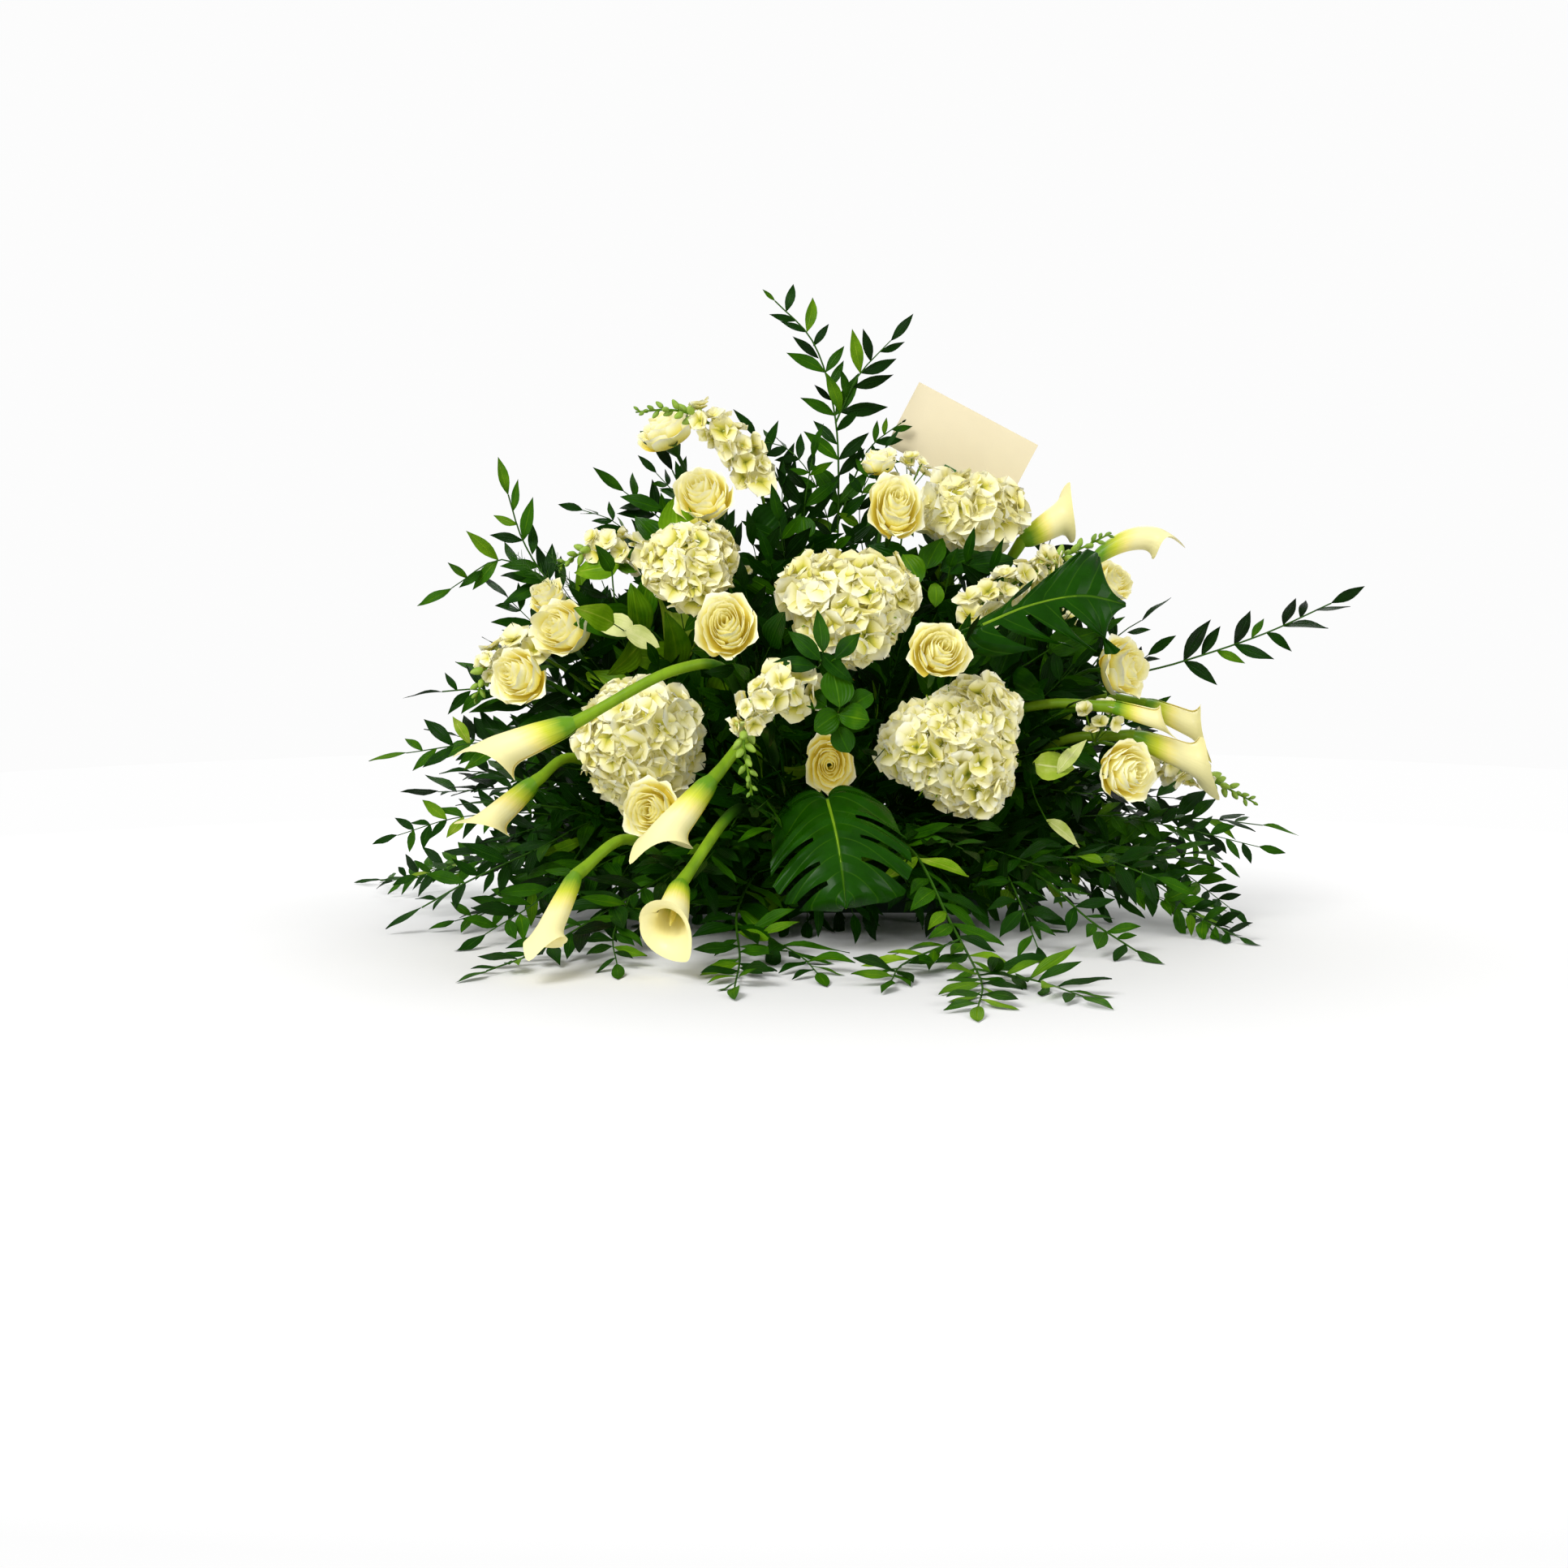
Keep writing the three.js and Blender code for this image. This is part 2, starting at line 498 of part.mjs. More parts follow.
function hydrangeaHead(bloom) {
  const base = bloom.large ? new THREE.OctahedronGeometry(1, 1) : new THREE.IcosahedronGeometry(1, 0);
  base.rotateX(0.5).rotateZ(0.7);
  for (const name of ['normal', 'uv']) base.deleteAttribute(name);
  const merged = mergeVertices(base, 1e-4);
  const spots = merged.attributes.position;
  const skin = new Skin();
  const petal = bloom.large ? FLORETS.large : FLORETS.small;
  skin.ring(Array.from({ length: spots.count }, (unused, k) => (
    new THREE.Vector3().fromBufferAttribute(spots, k).multiplyScalar(FLORETS.core))));
  for (let k = 0; k < merged.index.count; k += 3) {
    const ids = [0, 1, 2].map((n) => merged.index.getX(k + n));
    const corners = ids.map((id) => skin.points[id]);
    const out = corners[0].clone().add(corners[1]).add(corners[2]).normalize();
    if (out.z < BARE_BACK) {
      skin.face(...ids);
      continue;
    }
    const first = corners[0].clone().addScaledVector(out, -corners[0].dot(out)).normalize();
    const second = new THREE.Vector3().crossVectors(out, first);
    const floret = circle(8, 1, 0, FLORET_TURN * sway(k + bloom.at[0])).map((spot, n) => {
      const wide = n % 2 ? FLORETS.notch * petal : petal;
      const tall = n % 2 ? FLORETS.dip : 1 + FLORETS.vary * sway(k + n);
      return out.clone().multiplyScalar(tall)
        .addScaledVector(first, spot.x * wide)
        .addScaledVector(second, spot.y * wide);
    });
    const star = skin.ring(floret);
    skin.strip(ids, star);
    skin.strip(star, skin.ring([out.clone().multiplyScalar(FLORETS.eye)]));
  }
  const half = bloom.size.map((value) => value / 2);
  skin.points.forEach((point) => point.multiply(vec(half)));
  return skin;
}

// Calla spathe along +Z from its neck: a rolled funnel with a flared lip and the spadix inside
function callaHead(calla, length) {
  const { mouth, bend = 0 } = calla;
  const { outer, inner, lip, spadix, spadixTip } = SPATHE;
  const wall = ([share, wide, more]) => circle(8, wide * mouth + more, share * length);
  const edge = circle(8, 1, 0).map((spot) => {
    const lean = Math.max(0, spot.y);
    const away = mouth * (1 + lip.flare * lean ** 3);
    const tall = lip.low + (1 - lip.low) * lean ** 2;
    return new THREE.Vector3(spot.x * away, spot.y * away, length * tall);
  });
  const rings = [
    ...outer.map(wall),
    edge,
    ...inner.map(wall),
    ...spadix.map(([share, radius]) => circle(4, radius, share * length)),
    [new THREE.Vector3(0, 0, spadixTip * length)],
  ];
  for (const point of rings.flat()) point.y += bend * length * (point.z / length) ** 2;
  return rings;
}

// One snapdragon floret or bud along a way out from the stem, its root sunk in the stem
function floret(root, way, size, open) {
  const matrix = standing(root, way);
  const shape = open ? OPEN_FLORET : BUD;
  const rings = shape.map(([sides, wide, tall, turn]) => circle(sides, wide * size, tall * size, turn));
  const skin = new Skin();
  skin.loft(rings.map((ring) => ring.map((point) => point.applyMatrix4(matrix))));
  return skin.solid();
}

// A flower: its stem's rings and then its head's rings as one closed surface
function flowerSkin(hole, points, radius, headRings, matrix, pitch = STEM_PITCH) {
  const centres = stemCentres(hole, points, pitch);
  const skin = new Skin();
  const way = new THREE.Vector3().setFromMatrixColumn(matrix, 2);
  const stem = stemRings(centres, () => radius, 4, way);
  const head = headRings.map((ring) => ring.map((point) => point.applyMatrix4(matrix)));
  const shift = nearestIndex(stem[stem.length - 1], head[0][0]);
  const turned = stem.map((ring) => startAt(ring, shift));
  skin.loft([[hole.bottom.clone().addScaledVector(hole.face.out, 0.5)], ...turned, ...head]);
  return skin;
}

// Leafy stems: a four-sided rib whose sides are drawn out into leaves
class Strand {
  constructor(centres, leafy, kind, face, seed, radius) {
    this.skin = new Skin();
    this.centres = centres;
    this.leafy = leafy;
    this.kind = kind;
    this.face = face;
    this.seed = seed;
    this.radius = radius;
    this.leaves = [];
  }

  // Axes at a step: along the stem, out of the leaves' upper face, and to one side
  axes(k) {
    const before = this.centres[Math.max(k - 1, 0)];
    const after = this.centres[Math.min(k + 1, this.centres.length - 1)];
    const ahead = after.clone().sub(before).normalize();
    const top = this.face.clone().addScaledVector(ahead, -this.face.dot(ahead)).normalize();
    const turn = k >= this.leafy ? 0.45 * sway(this.seed + k) : 0;
    top.applyAxisAngle(ahead, turn);
    return { ahead, top, side: new THREE.Vector3().crossVectors(ahead, top) };
  }

  outline(k, hand, bend) {
    const { ahead, top, side } = this.axes(k);
    const { length, width, angle, outline } = this.kind;
    const end = 1 - 0.35 * ((k - this.leafy) / Math.max(1, this.centres.length - 1 - this.leafy)) ** 2;
    const size = end * (1 + 0.18 * sway(this.seed * 3 + k * 2 + hand));
    const lean = THREE.MathUtils.degToRad(angle + 9 * sway(this.seed + 5 * k + hand));
    const away = side.clone().multiplyScalar(hand * Math.cos(bend)).addScaledVector(top, Math.sin(bend));
    const out = ahead.clone().multiplyScalar(Math.cos(lean)).addScaledVector(away, Math.sin(lean));
    const wide = ahead.clone().multiplyScalar(Math.sin(lean)).addScaledVector(away, -Math.cos(lean));
    const drop = top.clone().multiplyScalar(-0.1 * length * size);
    const root = this.centres[k];
    const points = outline.map(([along, across]) => root.clone()
      .addScaledVector(out, along * length * size)
      .addScaledVector(wide, across * width * size)
      .addScaledVector(drop, along ** 2));
    points.push(root.clone().addScaledVector(ahead, 5).addScaledVector(side, hand * this.radius));
    return points;
  }

  // The same outline as a slightly fatter closed blade, to test that it hangs clear
  blade(points, root) {
    const middle = points.slice(0, -1).reduce((sum, point) => sum.add(point), new THREE.Vector3());
    middle.divideScalar(points.length - 1);
    const [first, second] = points.slice(0, 2).map((point) => point.clone().sub(root));
    const normal = first.cross(second).normalize();
    const rim = [root.clone().lerp(middle, 0.3), ...points.slice(0, -1)];
    const skin = new Skin();
    skin.loft([
      [middle.clone().addScaledVector(normal, -BLADE_ROOM)],
      rim.map((point) => point.clone().sub(middle).multiplyScalar(1.03).add(middle)),
      [middle.clone().addScaledVector(normal, BLADE_ROOM)],
    ]);
    return skin.solid();
  }

  hangsClear(points, root, neighbours) {
    if (points.some((point) => point.z < SURFACE)) return false;
    const blade = this.blade(points, root);
    return [...neighbours, ...this.leaves].every((other) => blade.intersect(other).isEmpty());
  }

  fan(pivots, edges, outline, flip) {
    let last = edges[0];
    for (const id of outline) {
      this.skin.face(pivots[0], last, id, flip);
      last = id;
    }
    this.skin.face(pivots[0], last, pivots[1], flip);
    this.skin.face(pivots[1], last, edges[1], flip);
  }

  build(neighbours) {
    const { skin, centres, radius } = this;
    const last = centres.length - 1;
    const rings = centres.map((centre, k) => {
      const { top, side } = this.axes(k);
      const thick = radius * (1 - 0.4 * (k / last));
      return skin.ring([top, side, top.clone().negate(), side.clone().negate()].map((way) => (
        centre.clone().addScaledVector(way, thick))));
    });
    const start = skin.ring([centres[0].clone()]);
    skin.strip(start, rings[0]);
    for (let k = 0; k < last; k += 1) {
      const [low, high] = [rings[k], rings[k + 1]];
      for (const [hand, edge] of [[1, 1], [-1, 3]]) {
        const leaf = k >= this.leafy ? this.findLeaf(k, hand, neighbours) : [];
        const ids = skin.ring(leaf);
        this.fan([low[0], high[0]], [low[edge], high[edge]], ids, hand < 0);
        this.fan([low[2], high[2]], [low[edge], high[edge]], ids, hand > 0);
      }
    }
    this.endLeaf(rings[last]);
    return skin.solid();
  }

  findLeaf(k, hand, neighbours) {
    for (const bend of BENDS) {
      const points = this.outline(k, hand, bend);
      if (this.hangsClear(points, this.centres[k], neighbours)) {
        this.leaves.push(this.blade(points, this.centres[k]));
        return points;
      }
    }
    return [];
  }

  endLeaf(ring) {
    const { ahead, side } = this.axes(this.centres.length - 1);
    const { length, width } = this.kind;
    const root = this.centres[this.centres.length - 1];
    const points = [[0.4, 0.38], [0.85, 0], [0.4, -0.38]].map(([along, across]) => (
      root.clone().addScaledVector(ahead, along * length * 0.8).addScaledVector(side, across * width * 0.8)));
    for (const point of points) point.z = Math.max(point.z, SURFACE);
    const ids = this.skin.ring(points);
    const chain = [ring[1], ...ids, ring[3]];
    for (let k = 0; k + 1 < chain.length; k += 1) {
      this.skin.face(ring[0], chain[k], chain[k + 1]);
      this.skin.face(ring[2], chain[k], chain[k + 1], true);
    }
  }
}

// Centres of a twig or trunk: a few on its bare share, then one for each pair of leaves
function strandCentres(points, bare, spacing) {
  const curve = new THREE.CatmullRomCurve3(points);
  const length = curve.getLength();
  const bareSteps = bare ? Math.max(1, Math.round((length * bare) / BARE_PITCH)) : 0;
  const leafSteps = Math.max(2, Math.round((length * (1 - bare)) / spacing));
  const shares = [
    ...Array.from({ length: bareSteps }, (unused, k) => (bare * k) / bareSteps),
    ...Array.from({ length: leafSteps + 1 }, (unused, k) => bare + ((1 - bare) * k) / leafSteps),
  ];
  const centres = shares.map((share) => curve.getPointAt(Math.min(1, share)));
  for (const centre of centres) centre.z = Math.max(centre.z, SURFACE + LEAF_STEM);
  return { centres, leafy: bareSteps };
}

function foliage(sprayPlan, hole, seed) {
  const kind = sprayPlan.kind || NARROW;
  const face = heading(sprayPlan.face);
  const path = [hole.exit, hole.lead, ...sprayPlan.trunk.map(vec)];
  const trunkLine = strandCentres(path, sprayPlan.bare, kind.spacing);
  const centres = [hole.bottom, ...trunkLine.centres];
  const trunk = new Strand(centres, trunkLine.leafy + 1, kind, face, seed, LEAF_STEM);
  let solid = trunk.build(placed);
  sprayPlan.twigs.forEach((twig, index) => {
    const start = nearestOn(trunk.centres, vec(twig.path[0]));
    const line = strandCentres([start, ...twig.path.slice(1).map(vec)], twig.bare || 0.12, kind.spacing);
    const strand = new Strand(line.centres, line.leafy, kind, face, seed + 40 * (index + 1), LEAF_STEM * 0.7);
    solid = solid.add(strand.build([...placed, ...trunk.leaves]));
    trunk.leaves.push(...strand.leaves);
  });
  return largest(solid.simplify(0.02));
}

// A split leaf: the rib of a strand with lobes cut towards it
function monstera(plan, hole) {
  const path = [hole.exit, hole.lead, ...plan.via.map(vec), vec(plan.rib[0])];
  const stem = new THREE.CatmullRomCurve3(path);
  const stemSteps = Math.round(stem.getLength() / SPIKE_PITCH);
  const rib = new THREE.CatmullRomCurve3(plan.rib.map(vec));
  const length = rib.getLength();
  const stemPoints = stem.getSpacedPoints(stemSteps).slice(0, -1);
  const centres = [hole.bottom, ...stemPoints, ...rib.getSpacedPoints(LOBES.length)];
  const leafy = stemSteps + 1;
  const face = heading(plan.face);
  const kind = { length: plan.reach * TIP.length, width: plan.reach * TIP.width };
  const strand = new Strand(centres, centres.length, kind, face, 1, LEAF_STEM * 1.3);
  const { skin } = strand;
  const last = centres.length - 1;
  const rings = centres.map((centre, k) => {
    const { top, side } = strand.axes(k);
    const share = (k - leafy) / LOBES.length;
    const cut = k > leafy ? plan.reach * (WEB.start + (WEB.end - WEB.start) * share) : strand.radius;
    const spots = [[0, strand.radius], [cut, 0], [0, -strand.radius], [-cut, 0]];
    return skin.ring(spots.map(([across, rise]) => (
      centre.clone()
        .addScaledVector(side, across)
        .addScaledVector(top, rise - WEB.drop * Math.abs(across)))));
  });
  skin.strip(skin.ring([centres[0].clone()]), rings[0]);
  const spot = ([along, out], hand) => {
    const share = Math.max(0, Math.min(1, along));
    const { ahead, top, side } = strand.axes(Math.min(last, leafy + Math.round(share * LOBES.length)));
    return rib.getPointAt(share)
      .addScaledVector(ahead, (along - share) * length)
      .addScaledVector(side, hand * out * plan.reach)
      .addScaledVector(top, -LOBE_DROP * out ** 2 * plan.reach);
  };
  for (let k = 0; k < last; k += 1) {
    const lobe = LOBES[k - leafy];
    for (const [hand, edge] of [[1, 1], [-1, 3]]) {
      const points = lobe ? [lobe.back, lobe.tip, lobe.front].map((share) => spot(share, hand)) : [];
      const ids = skin.ring(points);
      strand.fan([rings[k][0], rings[k + 1][0]], [rings[k][edge], rings[k + 1][edge]], ids, hand < 0);
      strand.fan([rings[k][2], rings[k + 1][2]], [rings[k][edge], rings[k + 1][edge]], ids, hand > 0);
    }
  }
  strand.endLeaf(rings[last]);
  return skin.solid();
}

// Every stem's hole is settled before anything is built, so that the holes keep their spacing
const baseOf = (bloom, depth) => vec(bloom.at).addScaledVector(heading(bloom.face), -depth);
const neckOf = (base, bloom, reach) => base.clone().addScaledVector(heading(bloom.face), -reach);
const viaOf = (bloom) => (bloom.via || []).map(vec);

const roseStems = ROSES.map((rose) => {
  const base = baseOf(rose, 0.5 * ROSE_HEIGHT * rose.wide);
  const points = [...viaOf(rose), neckOf(base, rose, 34), base];
  return { points, hole: holeFor(points[0], ROSE_STEM) };
});
const hydrangeaStems = HYDRANGEAS.map((bloom) => {
  const base = baseOf(bloom, 0.3 * bloom.size[2]);
  const points = [...viaOf(bloom), neckOf(base, bloom, 45), base];
  return { points, hole: holeFor(points[0], HYDRANGEA_STEM) };
});
const snapdragonStems = SNAPDRAGONS.map((plan) => {
  const points = plan.path.map(vec);
  return { points, hole: holeFor(points[0], SNAPDRAGON_STEM) };
});
const callaStems = CALLAS.map((calla) => {
  const points = [...calla.via.map(vec), vec(calla.neck)];
  return { points, hole: holeFor(points[0], CALLA_STEM) };
});
const monsteraHoles = MONSTERAS.map((plan) => holeFor(vec(plan.via[0]), LEAF_STEM * 1.3));
const sprayHoles = SPRAYS.map((plan) => holeFor(vec(plan.trunk[0]), LEAF_STEM));
const cardTilt = THREE.MathUtils.degToRad(CARD.tilt);
const cardTurn = new THREE.Matrix4().makeRotationY(cardTilt).setPosition(vec(CARD.at));
const cardFoot = new THREE.Vector3(0, 0, -CARD.height / 2).applyMatrix4(cardTurn);
const pickHole = holeFor(cardFoot, PICK.stem);
const holes = [...roseStems, ...hydrangeaStems, ...snapdragonStems, ...callaStems].map((stem) => stem.hole)
  .concat(monsteraHoles, sprayHoles, [pickHole]);
spreadHoles(holes);

function roundedBox(length, width, height, corner, low) {
  const shape = new THREE.Shape();
  const [x, y] = [length / 2, width / 2];
  shape.moveTo(corner - x, -y);
  shape.lineTo(x - corner, -y);
  shape.absarc(x - corner, corner - y, corner, -Math.PI / 2, 0);
  shape.absarc(x - corner, y - corner, corner, 0, Math.PI / 2);
  shape.absarc(corner - x, y - corner, corner, Math.PI / 2, Math.PI);
  shape.absarc(corner - x, corner - y, corner, Math.PI, Math.PI * 1.5);
  const geometry = new THREE.ExtrudeGeometry(shape, { depth: height, bevelEnabled: false, curveSegments: 2 });
  return solidOf(geometry.translate(0, 0, low));
}

// Saddle tray
const shell = roundedBox(TRAY.length, TRAY.width, TRAY.height, TRAY.corner, 0);
const hollow = roundedBox(TRAY.length - 2 * TRAY.wall, TRAY.width - 2 * TRAY.wall, TRAY.height,
  TRAY.corner - TRAY.wall, TRAY.floor);
place('tray', shell.subtract(hollow), 'tray');

// Wet foam with a plain hole for each stem
function foamBlock() {
  const [x, y, edge] = [FOAM.length / 2, FOAM.width / 2, FOAM.edge];
  const ring = (inset, z) => [[-1, -1], [1, -1], [1, 1], [-1, 1]].map(([sx, sy]) => (
    new THREE.Vector3(sx * (x - inset), sy * (y - inset), z)));
  const skin = new Skin();
  skin.loft([
    [new THREE.Vector3(0, 0, FOAM.lift)],
    ring(0, FOAM.lift),
    ring(0, foamTop - edge),
    ring(edge, foamTop),
    [new THREE.Vector3(0, 0, foamTop)],
  ]);
  let block = skin.solid();
  for (const hole of holes) {
    const wide = (hole.radius + GAP) / Math.cos(Math.PI / HOLE.sides);
    const centres = [-HOLE.depth, 6].map((step) => hole.mouth.clone().addScaledVector(hole.face.out, step));
    const [low, high] = stemRings(centres, () => wide, HOLE.sides);
    const bore = new Skin();
    bore.loft([[centres[0]], low, high, [centres[1]]]);
    block = block.subtract(bore.solid());
  }
  return block;
}
place('foam', foamBlock(), 'foam');

// Blank card, held by the clip of its pick
const cardBox = new THREE.BoxGeometry(CARD.width, CARD.thick, CARD.height).applyMatrix4(cardTurn);
place('card', solidOf(cardBox), 'card');
const clipMiddle = -CARD.height / 2 - PICK.height / 2 + PICK.grip;
const clip = new THREE.BoxGeometry(PICK.width, PICK.thick, PICK.height)
  .translate(0, 0, clipMiddle).applyMatrix4(cardTurn);
const slot = new THREE.BoxGeometry(PICK.width * 2, CARD.thick + 2 * GAP, CARD.height + 2 * GAP)
  .applyMatrix4(cardTurn);
const clipFoot = new THREE.Vector3(0, 0, clipMiddle - PICK.height / 2 + 4).applyMatrix4(cardTurn);
const pickCentres = stemCentres(pickHole, [vec(CARD.via), clipFoot], STEM_PITCH);
const pickSkin = new Skin();
pickSkin.loft([
  [pickCentres[0].clone().addScaledVector(pickHole.face.out, 0.5)],
  ...stemRings(pickCentres, () => PICK.stem, 5),
  [clipFoot.clone()],
]);
place('card_pick', solidOf(clip).subtract(solidOf(slot)).add(pickSkin.solid()), 'pick');

// Blooms
ROSES.forEach((rose, index) => {
  const { points, hole } = roseStems[index];
  const matrix = standing(points[points.length - 1], heading(rose.face));
  place(`rose_${index + 1}`, flowerSkin(hole, points, ROSE_STEM, roseHead(rose), matrix).solid(), 'petal');
});
HYDRANGEAS.forEach((bloom, index) => {
  const { points, hole } = hydrangeaStems[index];
  const head = hydrangeaHead(bloom);
  const matrix = standing(vec(bloom.at), heading(bloom.face));
  head.points.forEach((point) => point.applyMatrix4(matrix));
  const stem = flowerSkin(hole, points, HYDRANGEA_STEM, [[new THREE.Vector3(0, 0, 1)]],
    standing(points[points.length - 1], heading(bloom.face)));
  place(`hydrangea_${index + 1}`, head.solid().add(stem.solid()).simplify(0.02), 'petal');
});
SNAPDRAGONS.forEach((plan, index) => {
  const { points, hole } = snapdragonStems[index];
  const curve = new THREE.CatmullRomCurve3([hole.exit, hole.lead, ...points]);
  const length = curve.getLength();
  const centres = [hole.bottom, ...curve.getSpacedPoints(Math.round(length / SPIKE_PITCH))];
  const stem = new Skin();
  stem.loft([
    [hole.bottom.clone().addScaledVector(hole.face.out, 0.5)],
    ...stemRings(centres, (share) => SNAPDRAGON_STEM * (1 - 0.6 * share ** 2), 4),
    [curve.getPointAt(1).addScaledVector(curve.getTangentAt(1), 6)],
  ]);
  const parts = [stem.solid()];
  const count = Math.round(plan.spike / FLORET_PITCH);
  for (let k = 0; k < count; k += 1) {
    const share = k / count;
    const at = 1 - (plan.spike * (1 - share)) / length;
    const ahead = curve.getTangentAt(at);
    const side = new THREE.Vector3(0, -1, 0).addScaledVector(ahead, ahead.y).normalize();
    const turn = (k % 2 ? 1 : -1) * (0.55 + 1.1 * Math.abs(sway(k + index)));
    const out = side.applyAxisAngle(ahead, turn);
    const way = out.multiplyScalar(0.8).addScaledVector(ahead, 0.6).normalize();
    const open = share < 0.62;
    const root = nearestOn(centres, curve.getPointAt(at));
    parts.push(floret(root, way, open ? 29 - 10 * share : 16 - 6 * share, open));
  }
  place(`snapdragon_${index + 1}`, largest(wasm.Manifold.union(parts).simplify(0.02)), 'spike');
});
CALLAS.forEach((calla, index) => {
  const { points, hole } = callaStems[index];
  const neck = vec(calla.neck);
  const way = vec(calla.tip).sub(neck);
  const rings = callaHead(calla, way.length());
  const matrix = standing(neck, way.normalize());
  const skin = flowerSkin(hole, points, CALLA_STEM, rings, matrix, CALLA_PITCH);
  place(`calla_${index + 1}`, skin.solid(), 'calla');
});
MONSTERAS.forEach((plan, index) => {
  place(`monstera_${index + 1}`, monstera(plan, monsteraHoles[index]), 'leaf');
});

// Foliage, placed last so that each leaf can hang clear of the blooms
SPRAYS.forEach((plan, index) => {
  place(`foliage_${index + 1}`, foliage(plan, sprayHoles[index], 100 * (index + 1)), 'leaf');
});

export default spray;
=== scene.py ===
# Casket spray: cream roses, hydrangeas, snapdragons and callas among ruscus and split leaves, stuck
# into wet foam in a saddle tray, with a blank card. Metres, +Z up, seen from -Y.
import math

import bpy
import numpy as np
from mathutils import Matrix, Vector, kdtree


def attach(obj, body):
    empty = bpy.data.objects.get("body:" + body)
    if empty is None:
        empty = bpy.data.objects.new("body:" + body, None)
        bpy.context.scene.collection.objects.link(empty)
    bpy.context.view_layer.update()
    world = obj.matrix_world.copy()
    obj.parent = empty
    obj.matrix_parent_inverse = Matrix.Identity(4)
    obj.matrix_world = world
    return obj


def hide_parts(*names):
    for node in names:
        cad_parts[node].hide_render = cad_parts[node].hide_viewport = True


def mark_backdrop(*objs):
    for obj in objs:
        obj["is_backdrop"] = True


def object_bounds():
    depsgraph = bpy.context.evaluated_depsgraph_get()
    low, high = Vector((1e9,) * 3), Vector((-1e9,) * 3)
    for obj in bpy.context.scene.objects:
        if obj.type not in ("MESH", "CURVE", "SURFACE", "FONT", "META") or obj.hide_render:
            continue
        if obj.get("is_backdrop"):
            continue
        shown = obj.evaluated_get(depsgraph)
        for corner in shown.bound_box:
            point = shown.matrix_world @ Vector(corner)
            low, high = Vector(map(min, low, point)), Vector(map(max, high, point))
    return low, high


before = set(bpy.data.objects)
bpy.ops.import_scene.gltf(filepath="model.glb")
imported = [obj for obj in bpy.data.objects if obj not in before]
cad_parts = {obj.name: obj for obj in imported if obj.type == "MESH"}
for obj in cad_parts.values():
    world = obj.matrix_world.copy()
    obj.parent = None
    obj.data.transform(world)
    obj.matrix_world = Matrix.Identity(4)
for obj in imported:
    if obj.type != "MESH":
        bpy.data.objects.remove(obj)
bpy.ops.object.select_all(action="DESELECT")
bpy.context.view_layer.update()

# Studio
# The spray stands on pale paper inside a plain white tent that only the camera sees. A large soft
# box hangs at the upper left and a smaller one at the right, and the open sky of the room fills in.
bpy.ops.object.camera_add(location=(-0.044, -2.683, 0.4), rotation=(math.radians(84.65), 0, 0))
camera = bpy.context.object
camera.data.lens = 50
camera.data.sensor_width = 36
bpy.context.scene.camera = camera
bpy.context.scene.view_settings.view_transform = "Standard"
SPRAY_MIDDLE = Vector((0, 0, 0.25))


def soft_box(name, place, size, watts):
    """A square lamp that is aimed at the middle of the spray"""
    bpy.ops.object.light_add(type="AREA", location=place)
    lamp = bpy.context.object
    lamp.name = name
    lamp.data.shape = "SQUARE"
    lamp.data.size = size
    lamp.data.energy = watts
    lamp.rotation_euler = (SPRAY_MIDDLE - Vector(place)).to_track_quat("-Z", "Y").to_euler()


soft_box("key_light", (-1.5, -2.2, 2.3), 1.5, 76)
soft_box("side_light", (2.3, -1.2, 1.4), 1.1, 16)
soft_box("back_light", (0.4, 2.2, 2.2), 1.6, 30)
room = bpy.context.scene.world or bpy.data.worlds.new("room")
bpy.context.scene.world = room
room.use_nodes = True
sky = room.node_tree.nodes["Background"].inputs
sky["Color"].default_value = (1, 1, 1, 1)
sky["Strength"].default_value = 0.45
BLACK = (0, 0, 0, 1)
FLOOR_WHITE = (0.82, 0.82, 0.815, 1)
TENT_WHITE = (0.975, 0.975, 0.975, 1)


def rgb(red, green, blue):
    shares = [value / 255 for value in (red, green, blue)]
    linear = [share / 12.92 if share < 0.04045 else ((share + 0.055) / 1.055) ** 2.4 for share in shares]
    return (*linear, 1)


class Socket:
    """The output of a node, so that shader maths reads as plain sums"""

    def __init__(self, look, link):
        self.look = look
        self.link = link

    def __add__(self, other):
        return self.look.maths("ADD", self, other)

    def __sub__(self, other):
        return self.look.maths("SUBTRACT", self, other)

    def __rsub__(self, other):
        return self.look.maths("SUBTRACT", other, self)

    def __mul__(self, other):
        return self.look.maths("MULTIPLY", self, other)

    def __abs__(self):
        return self.look.maths("ABSOLUTE", self)

    __radd__ = __add__
    __rmul__ = __mul__

    def clamped(self):
        return self.look.node("ShaderNodeClamp", {}, {0: self})

    def mix(self, first, second):
        """The first colour where this is 0, the second where it is 1, and a blend between"""
        return self.look.node("ShaderNodeMix", {"data_type": "RGBA"}, {0: self, 6: first, 7: second}, 2)

    def ramp(self, *stops):
        """Colours along this value, each given as its place, red, green and blue"""
        return self.look.node("ShaderNodeValToRGB", {"stops": stops}, {0: self})


